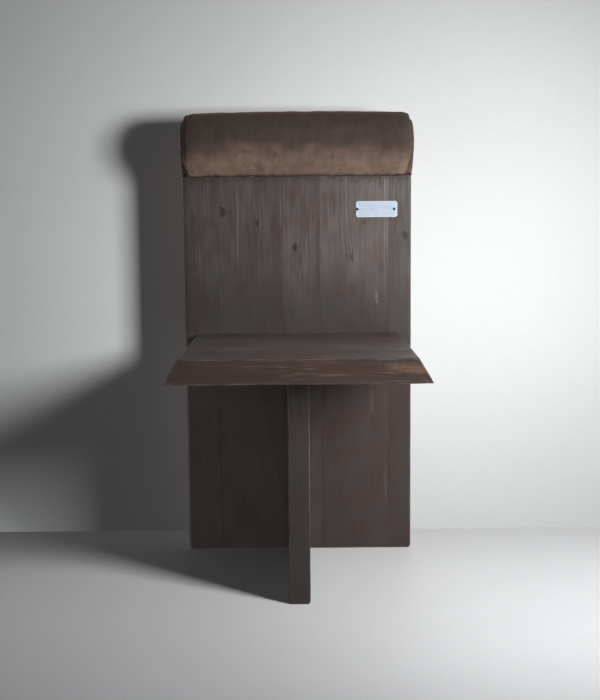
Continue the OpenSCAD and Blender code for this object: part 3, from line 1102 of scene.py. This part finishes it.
@dataclass
class FinLeg:
    """Three upright boards, edge-glued into the fin that carries the seat."""

    thick: float = PLANK
    height: float = SEAT_UNDER
    seams: tuple[float, ...] = (FACE_Y, 0.06925, -0.05275, -0.17475)
    foot_chamfer: float = 0.004
    front_chamfer: float = 0.0015
    arris: float = 0.0004
    seam_ease: float = 0.0003
    grid: Triple = (0.0095, 0.011, 0.024)
    piths: Triple = (0.045, -0.035, 0.045)

    def build(self) -> list[Piece]:
        """Builds the three boards.

        Returns:
            The pieces, from the rear.
        """
        half, front = self.thick / 2, self.seams[-1]
        facets = Facets.of_panel(half, front, self.seams[0], self.height)
        made = []
        for number, place in enumerate(("rear", "middle", "front")):
            rear, fore = self.seams[number], self.seams[number + 1]
            board = Board((-half, fore, 0), (half, rear, self.height))
            for side in (-1, 1):
                board.saw(Cut((side * (half - self.foot_chamfer), 0, 0), (side, 0, -1)))
                if place == "front":
                    board.saw(Cut((side * (half - self.front_chamfer), front, 0), (side, -1, 0)))
            glued = in_plane(1, *(y for y in (rear, fore) if y != front))
            board.round_off(self.arris, 2, lambda edge: not glued(edge))
            board.round_off(self.seam_ease, 1, glued)
            board.rule(*self.grid)
            board.relief(hand_planed(40 + number * SEED_STEP))
            pith = (self.piths[number], (rear + fore) / 2 + 0.01)
            finish = StainedSoftwood(
                f"stain_fin_{place}", Grain.UPRIGHT, pith, facets, 31.0 + number * 5.1,
                tone=0.58, warmth=0.2, brushed_from=0.2, wear=0.28,
            )
            made.append(board.done(f"plank_fin_{place}", finish, f"fin_board_{place}"))
        return made


@dataclass
class SeatSlab:
    """Three boards that run from side to side, cut as one slab with bevels that run outwards on their way down."""

    half_width: float = 0.226
    under: float = SEAT_UNDER
    top: float = 0.450
    seams: tuple[float, ...] = (FACE_Y, 0.03525, -0.12075, -0.27575)
    bevel: float = 0.022
    land: float = 0.0015
    arris: float = 0.0011
    foot_arris: float = 0.0005
    foot_zone: float = 0.002
    seam_ease: float = 0.0003
    cut_depth: float = 0.0006
    wave_depth: float = 0.00022
    grid: Triple = (0.014, 0.011, 0.01)
    front_grid: Triple = (0.0056, 0.0075, 0.0035)
    piths: tuple[Pair, ...] = ((0.20, 0.36), (-0.16, 0.55), (-0.35, 0.29))
    tones: Triple = (1.23, 1.34, 1.23)
    slope: Vector = field(init=False)

    def __post_init__(self) -> None:
        """Works out the bevels' slope, as how far their normal points out and up."""
        self.slope = Vector((self.top - self.under - self.land, self.bevel)).normalized()

    def facets(self) -> Facets:
        """Works out the slab's faces.

        Returns:
            The faces, the front bevel first.
        """
        out, up = self.slope
        foot = self.under + self.land
        side = out * self.half_width + up * foot
        front = -out * self.seams[-1] + up * foot
        return Facets((
            (((0, -out, up), front), ((0, 1, 0), self.seams[0])),
            (((out, 0, up), side), ((-out, 0, up), side)),
            (((0, 0, 1), self.top), ((0, 0, -1), -self.under)),
        ))

    def low_down(self, edge: Edge) -> bool:
        """Says whether an edge lies at the slab's foot."""
        return all(vert.co.z < self.under + self.foot_zone for vert in edge.verts)

    def rasped(self, waves: Relief) -> Relief:
        """Adds the saw's and the rasp's marks on the front bevel.

        Args:
            waves: The board's hand-planed waves.

        Returns:
            A function for Board.relief.
        """
        out, up = self.slope
        reach = self.facets().pairs[0][0][1]

        def height(where: Vector, normal: Vector) -> float:
            """Returns the height of the face there."""
            on_bevel = blend_in(0.004, 0.0004, reach - (-out * where.y + up * where.z))
            long = noise.fractal(Vector((where.x * 16, where.z * 40, 3.1)), 0.9, 2.1, 3)
            short = noise.noise(Vector((where.x * 75, where.z * 190, 9.4)))
            return waves(where, normal) + on_bevel * self.cut_depth * (0.9 * long + 0.35 * short)

        return height

    def finish(self, number: int, place: str, facets: Facets) -> StainedSoftwood:
        """Gives one board's finish.

        Args:
            number: The board's number, from the rear.
            place: Its place by name.
            facets: The slab's faces.

        Returns:
            The finish.
        """
        middle = (self.seams[number] + self.seams[number + 1]) / 2
        # Painted shade at the seat's left end, away from the light, together with a darker tone of the wood there.
        spots = (Spot(Mark.DARKER_TONE_AND_SHADE, (-0.2, middle + 0.03, self.top), 0.12, 0.13),)
        if place == "front":
            spots += (
                Spot(Mark.OLIVE, (-0.083, -0.2615, 0.4360), 0.0045, 0.032),
                Spot(Mark.OLIVE, (-0.036, -0.2640, 0.4310), 0.0035, 0.05),
                Spot(Mark.RUST, (0.053, -0.2680, 0.4250), 0.0026, 0.03),
                Spot(Mark.OLIVE, (0.1, -0.2660, 0.4280), 0.003, 0.04),
                Spot(Mark.SMUDGE, (0.08, -0.2575, 0.4435), 0.004, 0.04),
                Spot(Mark.RUST, (0.185, -0.2622, 0.4355), 0.012, 0.048),
                Spot(Mark.RUST, (0.2, -0.2655, 0.43), 0.004, 0.03),
                Spot(Mark.RED_PATCH, (0.15, -0.268, 0.425), 0.012, 0.05),
                Spot(Mark.FAINT_STREAK, (-0.0604, -0.2604, 0.4383), 0.0018, 0.055),
                Spot(Mark.FAINT_STREAK, (0.0481, -0.268, 0.425), 0.0022, 0.04),
                Spot(Mark.FAINT_STREAK, (0.078, -0.2655, 0.4295), 0.0018, 0.028),
            )
        return StainedSoftwood(
            f"stain_seat_{place}", Grain.SIDEWAYS, self.piths[number], facets, 51.0 + number * 6.7, ring=0.006,
            tone=self.tones[number], warmth=0.3, wear=0.3, spots=spots, sawn_front=place == "front",
        )

    def build(self) -> list[Piece]:
        """Builds the three boards.

        Returns:
            The pieces, from the rear.
        """
        out, up = self.slope
        foot, front = self.under + self.land, self.seams[-1]
        facets = self.facets()
        made = []
        for number, place in enumerate(("rear", "middle", "front")):
            rear, fore = self.seams[number], self.seams[number + 1]
            board = Board((-self.half_width, fore, self.under), (self.half_width, rear, self.top))
            board.saw(*(Cut((side * self.half_width, 0, foot), (side * out, 0, up)) for side in (1, -1)))
            grid, relief = self.grid, hand_planed(70 + number * SEED_STEP, self.wave_depth)
            if place == "front":
                board.saw(Cut((0, front, foot), (0, -out, up)))
                grid, relief = self.front_grid, self.rasped(relief)
            glued = in_plane(1, *(y for y in (rear, fore) if y != front))
            board.round_off(self.arris, 3, lambda edge: not glued(edge) and not self.low_down(edge))
            board.round_off(self.foot_arris, 2, lambda edge: not glued(edge) and self.low_down(edge))
            board.round_off(self.seam_ease, 1, glued)
            board.rule(*grid)
            board.relief(relief)
            finish = self.finish(number, place, facets)
            made.append(board.done(f"plank_seat_{place}", finish, f"seat_board_{place}"))
        return made


@dataclass
class Bolster:
    """The velvet bolster: a sleeve with a round cap sewn into each end, stuffed, and pressed flat on the back."""

    radius: float = 0.0665
    axis_y: float = 0.20925
    axis_z: float = 0.83073
    rest_z: float = BACK_TOP
    rest_half: float = 0.0195
    seam_x: float = SEAM_X
    shoulder_x: float = 0.207
    left_shoulder_x: float = 0.194
    shoulder_drop: float = 0.013
    shoulder_turn: float = 75.0
    crown: float = 0.0025
    cap_bulge: float = 0.0075
    cap_fullness: float = 0.77
    cap_strips: int = 11
    fine: float = 0.0048
    shoulder_fine: float = 0.0034
    spokes: int = 96
    drawn_in: float = 0.034
    left_share: float = 0.4
    drawn_in_on_top: float = 0.016
    cap_release: float = 0.75
    lip: float = 0.0016
    corner_tuck: float = 0.006
    puckers: int = 41
    pucker_height: float = 0.0006
    groove_depth: float = 0.0012
    piping_height: float = 0.0008
    piping_at: float = 0.0042
    crush_height: float = 0.0007
    tuck_depth: float = 0.0022
    hem: float = 0.005
    hem_turn: float = 0.0016
    cloth: float = 0.0015
    slack: float = 0.0016
    held_width: float = 0.0012
    frames: int = 20
    most_swell: float = 0.005
    overhang: float = 0.0025
    filling_gap: float = 0.0028
    core_radius: float = 0.0228
    core_length: float = 0.4006

    def from_axis(self, place: Vector) -> Vector:
        """Returns the way from the bolster's axis straight to a place."""
        return Vector((0, place.y - self.axis_y, place.z - self.axis_z))

    def half_outline(self, depth: float, shoulder_x: float) -> list[Pair]:
        """Gives the outline from the middle to one end's pole.

        Args:
            depth: How far it is set back from the velvet's face.
            shoulder_x: Where the shoulder starts.

        Returns:
            Points as (distance along the axis, radius).
        """
        half = []
        count = round(shoulder_x / self.fine)
        for step in range(count):
            share = step / count
            half.append((shoulder_x * share, self.radius - self.crown * share * share - depth))
        shoulder = self.radius - self.crown
        turn = math.radians(self.shoulder_turn)
        length, drop = (self.seam_x - shoulder_x) / math.sin(turn), self.shoulder_drop / (1 - math.cos(turn))
        strips = max(6, round((self.seam_x - shoulder_x) / self.shoulder_fine))
        for step in range(strips + 1):
            angle = turn * step / strips
            out = Vector((math.sin(angle) / length, math.cos(angle) / drop)).normalized()
            half.append((
                shoulder_x + length * math.sin(angle) - depth * out.x,
                shoulder - drop * (1 - math.cos(angle)) - depth * out.y,
            ))
        rim = half[-1][1] - 0.5 * depth
        for step in range(1, self.cap_strips):
            angle = math.pi / 2 * step / self.cap_strips
            along = self.seam_x + (self.cap_bulge - depth) * math.sin(angle) ** self.cap_fullness
            half.append((along, rim * math.cos(angle) ** self.cap_fullness))
        half.append((self.seam_x + (self.cap_bulge - depth), 0.0))
        return half

    def outline(self, depth: float) -> list[Pair]:
        """Gives the outline from the left pole to the right one; the left shoulder is the longer.

        Args:
            depth: How far it is set back from the velvet's face.

        Returns:
            Points as (distance along the axis, radius).
        """
        left, right = self.half_outline(depth, self.left_shoulder_x), self.half_outline(depth, self.shoulder_x)
        return [(-x, r) for x, r in reversed(left[1:])] + right

    def pressed(self, place: Vector, depth: float) -> Vector:
        """Fills the bolster out to its ends where it is pressed on the panel's edge, and flattens it there.

        Args:
            place: A point of the turned form.
            depth: How far the form is set back from the velvet's face.

        Returns:
            Where it lies on the real bolster.
        """
        _, y, z = self.from_axis(place)
        share = blend_in(0.031, 0.019, abs(y)) * blend_in(-0.01, -0.04, z)
        lowest = self.rest_z + depth
        return Vector((place.x, place.y, max(place.z + share * (lowest - place.z), lowest)))

    def settled(self, place: Vector) -> Vector:
        """Lets the bolster settle: its lower corners draw in, and a small lip hangs over the panel's face.

        Args:
            place: A point of the finished bolster.

        Returns:
            Where it settles.
        """
        sideways, up, out = abs(place.y - self.axis_y), place.z - self.axis_z, abs(place.x)
        over_panel = blend_in(0.030, self.rest_half, sideways)
        drawn_in = self.drawn_in if place.x > 0 else self.left_share * self.drawn_in
        drawn = blend_in(-0.012, -0.062, up) * (drawn_in * (1 - over_panel) + self.drawn_in_on_top * over_panel)
        drawn *= 1 - self.cap_release * blend_in(self.seam_x, self.seam_x + 0.005, out)
        corner = blend_in(-0.046, -0.064, up) * blend_in(0.0190, 0.0215, sideways)
        beside = blend_in(self.seam_x - 0.03, self.seam_x, out)
        beside *= blend_in(self.seam_x + 0.005, self.seam_x + 0.0005, out)
        tuck = math.copysign(self.corner_tuck * corner * beside, place.x)
        lip = self.lip * blend_in(0.0196, 0.0225, sideways) * blend_in(-0.05, -0.062, up)
        return Vector((place.x * (1 - drawn) - tuck, place.y, place.z - lip))

    def turned(self, depth: float = 0.0) -> bmesh.types.BMesh:
        """Turns the outline about the axis and presses it where it lies on the back.

        Args:
            depth: How far it is set back from the velvet's face.

        Returns:
            The closed form.
        """
        mesh = bmesh.new()
        points = [mesh.verts.new((x, self.axis_y, self.axis_z - r)) for x, r in self.outline(depth)]
        for first, second in zip(points, points[1:]):
            mesh.edges.new((first, second))
        bmesh.ops.spin(
            mesh, geom=[*mesh.verts, *mesh.edges], cent=(0, self.axis_y, self.axis_z), axis=(1, 0, 0),
            angle=math.tau, steps=self.spokes, use_merge=True, use_duplicate=False,
        )
        bmesh.ops.remove_doubles(mesh, verts=mesh.verts, dist=TOUCH)
        for vert in mesh.verts:
            vert.co = self.pressed(vert.co, depth)
        bmesh.ops.recalc_face_normals(mesh, faces=mesh.faces)
        return mesh

    def plumped(self, cover: Piece) -> None:
        """Blows the cover up like a stuffed one: pressure from inside, held at its two seams.

        Args:
            cover: The slack cover; its mesh takes the simulated shape.
        """
        held = cover.vertex_groups.new(name="held")
        for vert in cover.data.vertices:
            if abs(abs(vert.co.x) - self.seam_x) < self.held_width:
                held.add([vert.index], 1.0, "REPLACE")
        cloth = cover.modifiers.new("stuffing", "CLOTH")
        settings = cloth.settings
        settings.quality = 6
        settings.mass = 0.25
        settings.air_damping = 2.0
        settings.tension_stiffness = settings.compression_stiffness = 18
        settings.shear_stiffness = 8
        settings.bending_stiffness = 0.6
        settings.use_pressure = True
        settings.uniform_pressure_force = 4.0
        settings.shrink_min = settings.shrink_max = -0.02
        settings.vertex_group_mass = "held"
        settings.effector_weights.gravity = 0.0
        cloth.collision_settings.use_collision = False
        cloth.point_cache.frame_end = self.frames
        before = [vert.co.copy() for vert in cover.data.vertices]
        scene = bpy.context.scene
        for frame in range(1, self.frames + 1):
            scene.frame_set(frame)
        shaped = cover.evaluated_get(bpy.context.evaluated_depsgraph_get())
        after = [vert.co.copy() for vert in shaped.data.vertices]
        cover.modifiers.remove(cloth)
        limit = self.most_swell
        for vert, start, end in zip(cover.data.vertices, before, after):
            move = end - start
            length = move.length
            vert.co = start + (move * (limit * math.tanh(length / limit) / length) if length > 1e-9 else move)
            over_rest = abs(vert.co.y - self.axis_y) < self.rest_half
            vert.co.z = max(vert.co.z, self.rest_z if over_rest else self.rest_z - self.overhang)
        largest = max((end - start).length for start, end in zip(before, after))
        LOG.info("bolster simulated, largest move %.1f mm", 1000 * largest)
        scene.frame_set(1)

    def sewn(self, where: Vector, normal: Vector) -> Vector:
        """Gives the small folds of the sewn and pressed cover.

        Args:
            where: A point of the cover.
            normal: The cloth's direction out there.

        Returns:
            How far that point moves.
        """
        from_seam = abs(abs(where.x) - self.seam_x)
        round_angle = math.atan2(where.z - self.axis_z, where.y - self.axis_y)
        side = 1 if where.x > 0 else -1
        pucker = math.sin(round_angle * self.puckers + 5 * noise.noise(Vector((round_angle * 2, side * 4.0, 1.0))))
        gathered = self.pucker_height * pucker * blend_in(0.019, 0.002, from_seam)
        groove = -self.groove_depth * math.exp(-((from_seam / 0.0016) ** 2))
        piping = self.piping_height * math.exp(-(((from_seam - self.piping_at) / 0.002) ** 2))
        crush = noise.fractal(Vector((where.x * 28, where.y * 9, where.z * 9)), 0.8, 2.0, 3)
        crush = self.crush_height * crush
        low = blend_in(0.022, 0.003, where.z - self.rest_z)
        tucks = max(0.0, noise.noise(Vector((where.x * 33, where.y * 3, 5.0))) - 0.05)
        over_edge = blend_in(0.0, 0.01, -abs(where.y - self.axis_y) + 0.012)
        tucked = -self.tuck_depth * low * tucks * (1 - over_edge)
        return normal * (gathered + (groove + piping) + tucked + crush * blend_in(0.0, 0.01, from_seam))

    def cover(self) -> Piece:
        """Makes the whole cover in one closed mesh, simulated and subdivided.

        Returns:
            The cover, which is then cut at its seams.
        """
        slack = self.turned()
        crease = slack.edges.layers.float.new("crease_edge")
        for edge in filter(in_plane(0, -self.seam_x, self.seam_x), slack.edges):
            edge[crease] = 1.0
        for vert in slack.verts:
            from_axis = self.from_axis(vert.co)
            past_seam = abs(vert.co.x) - self.seam_x
            if abs(past_seam) > 0.001 and vert.co.z > self.rest_z + 0.001:
                if from_axis.length > 0.01:
                    vert.co -= from_axis.normalized() * self.slack
                if past_seam > 0:
                    vert.co.x -= math.copysign(min(self.slack, 0.6 * past_seam), vert.co.x)
        velvet = Velvet("velvet_slack", (0, self.axis_y, self.axis_z), self.radius)
        cover = piece("cover_in_one", slack, velvet.material())
        self.plumped(cover)
        finer = cover.modifiers.new("finer", "SUBSURF")
        finer.levels = finer.render_levels = 1
        shaped = cover.evaluated_get(bpy.context.evaluated_depsgraph_get())
        data = bpy.data.meshes.new_from_object(shaped)
        cover.modifiers.clear()
        cover.data = data
        moves = [self.sewn(vert.co, vert.normal) for vert in data.vertices]
        for vert, move in zip(data.vertices, moves):
            vert.co += move
            if abs(vert.co.y - self.axis_y) < self.rest_half:
                vert.co.z = max(vert.co.z, self.rest_z)
        return cover

    def panel_of(self, cover: Piece, keep: Callable[[float], bool], node: str, finish: Velvet) -> Piece:
        """Cuts one sewn piece out of the cover, turns its seam allowance in and gives the cloth its thickness.

        Args:
            cover: The whole cover.
            keep: Says by a face's place along the axis whether it belongs to the piece.
            node: The node that the piece replaces.
            finish: Its velvet, whose name it takes.

        Returns:
            The piece.
        """
        mesh = bmesh.new()
        mesh.from_mesh(cover.data)
        gone = [face for face in mesh.faces if not keep(face.calc_center_median().x)]
        bmesh.ops.delete(mesh, geom=gone, context="FACES")
        for vert in mesh.verts:
            vert.co = self.settled(vert.co)
        hem = [edge for edge in mesh.edges if edge.is_boundary]
        turned = bmesh.ops.extrude_edge_only(mesh, edges=hem)
        for vert in (part for part in turned["geom"] if isinstance(part, bmesh.types.BMVert)):
            inward = -self.from_axis(vert.co).normalized()
            vert.co += inward * self.hem + Vector((math.copysign(self.hem_turn, -vert.co.x), 0, 0))
        bmesh.ops.recalc_face_normals(mesh, faces=mesh.faces)
        made = piece(finish.name, mesh, finish.material())
        thick = made.modifiers.new("cloth", "SOLIDIFY")
        thick.thickness, thick.offset = self.cloth, -1.0
        stand_in(made, node)
        return made

    def filling(self) -> Piece:
        """Makes the foam form that fills the cover, bored for the core.

        Returns:
            The piece.
        """
        mesh = self.turned(self.cloth + self.filling_gap)
        for vert in mesh.verts:
            near_seam = math.exp(-(((abs(vert.co.x) - self.seam_x) / 0.007) ** 2))
            from_axis = self.from_axis(vert.co)
            if from_axis.length > 0.02:
                vert.co -= from_axis.normalized() * self.hem * near_seam
            vert.co = self.settled(vert.co)
        bore = bmesh.new()
        bmesh.ops.create_cone(
            bore, cap_ends=True, segments=48, radius1=self.core_radius, radius2=self.core_radius,
            depth=self.core_length,
            matrix=Matrix.Translation((0, self.axis_y, self.axis_z)) @ Matrix.Rotation(math.pi / 2, 4, "Y"),
        )
        bmesh.ops.reverse_faces(bore, faces=bore.faces)
        shell = bpy.data.meshes.new("bore")
        bore.to_mesh(shell)
        bore.free()
        mesh.from_mesh(shell)
        bpy.data.meshes.remove(shell)
        made = stand_in(piece("bolster_filling", mesh, CellFoam("cell_foam").material()), "bolster_foam")
        return made

    def build(self) -> list[Piece]:
        """Builds the sleeve, the two end caps and the filling.

        Returns:
            The pieces.
        """
        cover = self.cover()
        made = []
        # The end caps get a darker copy of the velvet: painted shade.
        for name, node, keep, painted_light_shift in (
            ("velvet_sleeve", "bolster_sleeve", lambda x: abs(x) < self.seam_x, 0.0),
            ("velvet_end_left", "bolster_cap_left", lambda x: x < -self.seam_x, -0.5),
            ("velvet_end_right", "bolster_cap_right", lambda x: x > self.seam_x, -0.5),
        ):
            finish = Velvet(name, (0, self.axis_y, self.axis_z), self.radius, painted_light_shift)
            made.append(self.panel_of(cover, keep, node, finish))
        data = cover.data
        bpy.data.objects.remove(cover)
        bpy.data.meshes.remove(data)
        return [*made, self.filling()]


@dataclass
class Fittings:
    """The nodes that keep their own shape: dowels, core, bolts, inserts, the bare plate and its screws."""

    nodes: dict[str, Piece]
    plate_ease: float = 0.00025
    screw_ease: float = 0.000125

    def finishes(self) -> dict[str, Union[Metal, BareWood]]:
        """Gives each node's finish.

        Returns:
            The finishes by the node's name.
        """
        plate_edges = (0.119, 0.202, 0.684, 0.716)
        plate = Metal("brushed_plate", srgb(174, 187, 203), 0.42, (24, 900, 1900), 0.1, 0.35, plate_edges)
        return {
            "seat_to_back_dowels": BareWood("dowels_seat_to_back", (700, 14, 700)),
            "fin_to_back_dowels": BareWood("dowels_fin_to_back", (700, 14, 700)),
            "seat_to_fin_dowels": BareWood("dowels_seat_to_fin", (700, 700, 14)),
            "bolster_core": BareWood("core_wood", (8, 260, 260), srgb(214, 184, 142), srgb(178, 140, 98)),
            "bolster_bolts": Metal("zinc_bolts", srgb(190, 194, 198), 0.36, (900, 900, 120)),
            "bolt_inserts": Metal("brass_inserts", srgb(212, 178, 96), 0.32, (900, 900, 150)),
            "plate": plate,
            "plate_screws": Metal("dark_screws", srgb(78, 74, 74), 0.42, (500, 500, 500), 0.3),
        }

    def build(self) -> list[Piece]:
        """Gives each node its finish, and takes the sharpness off the plate and the screws.

        Returns:
            The nodes.
        """
        eases = {"plate": self.plate_ease, "plate_screws": self.screw_ease}
        made = []
        for name, finish in self.finishes().items():
            node = self.nodes[name]
            node.data.materials.clear()
            node.data.materials.append(finish.material())
            LOG.info("%s: keeps its shape, finished as %s", name, finish.name)
            if name in eases:
                node.modifiers.new("joined", "WELD").merge_threshold = 1e-6
                eased = node.modifiers.new("eased", "BEVEL")
                eased.width, eased.segments = eases[name], 2
                eased.limit_method, eased.angle_limit = "ANGLE", math.radians(35)
            made.append(node)
        return made


class Target(Enum):
    """What a lamp is kept to."""

    CHAIR = "lit_chair"
    FLOOR = "lit_floor"
    WALL = "lit_wall"


@dataclass(frozen=True)
class Lamp:
    """A square soft lamp that is kept to the chair, the floor or the wall; the chair casts its shadow in each."""

    name: str
    at: Triple
    aim: Triple
    size: float
    power: float
    target: Target = Target.CHAIR
    spread: float = 180.0

    def hang(self, lit: dict[Target, bpy.types.Collection]) -> None:
        """Hangs the lamp.

        Args:
            lit: What belongs to each target.
        """
        data = bpy.data.lights.new(self.name, "AREA")
        data.shape, data.size, data.energy = "SQUARE", self.size, self.power
        data.spread = math.radians(self.spread)
        made = bpy.data.objects.new(self.name, data)
        made.location = self.at
        made.rotation_euler = (Vector(self.aim) - Vector(self.at)).to_track_quat("-Z", "Y").to_euler()
        made.visible_camera = made.visible_glossy = False
        made.light_linking.receiver_collection = lit[self.target]
        bpy.context.scene.collection.objects.link(made)


@dataclass
class Studio:
    """The camera, the lamps, the pale floor and the pale wall behind the chair."""

    eye: Triple = (0.0034, -2.27425, 0.696)
    down: float = 0.1135
    roll: float = 0.0080
    focal: float = 62.41
    sensor: float = 36.0
    wall_y: float = 0.338
    half_side: float = 9.0
    ambient: float = 0.056
    ambient_colour: Colour = srgb(250, 250, 255)
    lamps: tuple[Lamp, ...] = (
        Lamp("key", (0.78, -0.92, 0.82), (0.1, 0.19, 0.45), 0.5, 10.8, spread=120.0),
        Lamp("key_floor", (0.95, -0.85, 0.95), (0.1, 0.43, 0.36), 0.34, 11.8, Target.FLOOR, 120.0),
        Lamp("key_wall", (0.81, -0.92, 0.83), (0.09, 0.19, 0.37), 0.34, 10.5, Target.WALL, 120.0),
        Lamp("fill_left", (-1.1, -2.0, 0.45), (0.0, 0.0, 0.4), 1.6, 20.0),
        Lamp("fill_right", (1.0, -0.5, 0.12), (0.05, 0.19, 0.25), 0.6, 5.5),
        Lamp("side_left", (-2.0, 1.0, 0.45), (0.0, 0.1, 0.4), 0.8, 44.0),
        Lamp("side_right", (2.2, 0.5, 0.5), (0.0, 0.1, 0.45), 0.8, 12.0),
        Lamp("rear_left", (-0.8, 2.2, 0.8), (0.0, 0.2, 0.45), 1.2, 46.0),
        Lamp("rear_right", (1.3, 1.9, 0.9), (0.0, 0.2, 0.45), 1.2, 30.0),
        Lamp("above", (0.4, 0.3, 2.9), (0.0, 0.0, 0.5), 1.4, 10.0),
    )

    def camera(self) -> None:
        """Places the camera where the photograph was taken from."""
        ahead = Vector((0, math.cos(self.down), -math.sin(self.down)))
        level, above = Vector((1, 0, 0)), Vector((0, math.sin(self.down), math.cos(self.down)))
        right = math.cos(self.roll) * level - math.sin(self.roll) * above
        up = math.sin(self.roll) * level + math.cos(self.roll) * above
        data = bpy.data.cameras.new("camera")
        data.lens, data.sensor_width = self.focal, self.sensor
        made = bpy.data.objects.new("camera", data)
        turn = Matrix((right, up, -ahead)).transposed()
        made.matrix_world = Matrix.Translation(self.eye) @ turn.to_4x4()
        bpy.context.scene.collection.objects.link(made)
        bpy.context.scene.camera = made

    def plane(self, name: str, at: Triple, turn: float, paint: StudioPaint) -> Piece:
        """Lays a large flat plane for the floor or the wall.

        Args:
            name: Its name.
            at: Its middle.
            turn: Its turn about x, which sets a floor upright.
            paint: Its paint.

        Returns:
            The plane.
        """
        mesh = bmesh.new()
        place = Matrix.Translation(at) @ Matrix.Rotation(turn, 4, "X")
        bmesh.ops.create_grid(mesh, x_segments=1, y_segments=1, size=self.half_side, matrix=place)
        made = piece(name, mesh, paint.material())
        return made

    def surroundings(self) -> None:
        """Lights the studio evenly and gives it a pale backdrop wherever no wall is seen."""
        world = bpy.data.worlds.new("studio")
        bpy.context.scene.world = world
        world.use_nodes = True
        graph = Graph(world.node_tree)
        rays = graph.node("ShaderNodeLightPath").outputs
        seen = graph.most(*(rays[f"Is {kind} Ray"] for kind in ("Camera", "Glossy", "Transmission")))
        light = graph.node("ShaderNodeBackground", self.ambient_colour, self.ambient)
        plain = graph.node("ShaderNodeBackground", BACKDROP)
        graph.node("ShaderNodeOutputWorld", graph.either(seen, light.outputs[0], plain.outputs[0]))

    def build(self, pieces: Iterable[Piece]) -> None:
        """Sets up the whole studio.

        Args:
            pieces: The chair's visible pieces.
        """
        bpy.context.scene.view_settings.view_transform = "Standard"
        self.camera()
        screed = StudioPaint("floor_screed", srgb(250, 251, 252), 0.5, (0, 0.1, 0))
        paint = StudioPaint(
            "wall_paint", srgb(240, 242, 242), 0.9, (0, self.wall_y, 0.72), gloss=0.1, one_sided=True
        )
        floor = self.plane("floor", (0, 0, 0), 0.0, screed)
        wall = self.plane("wall", (0, self.wall_y, 1.5), math.pi / 2, paint)
        floor.visible_diffuse = wall.visible_diffuse = wall.visible_shadow = False
        lit = {target: bpy.data.collections.new(target.value) for target in Target}
        for target, members in ((Target.CHAIR, pieces), (Target.FLOOR, [floor]), (Target.WALL, [wall])):
            for each in members:
                lit[target].objects.link(each)
        for lamp in self.lamps:
            lamp.hang(lit)
        self.surroundings()


def main() -> None:
    """Builds the chair and then the studio round it."""
    logging.basicConfig(level=logging.INFO, format="%(name)s: %(message)s")
    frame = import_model()
    pieces = [*BackPanel().build(), *FinLeg().build(), *SeatSlab().build(), *Bolster().build()]
    pieces += Fittings(frame["nodes"]).build()
    Studio().build(pieces)


if __name__ == "__main__":
    main()
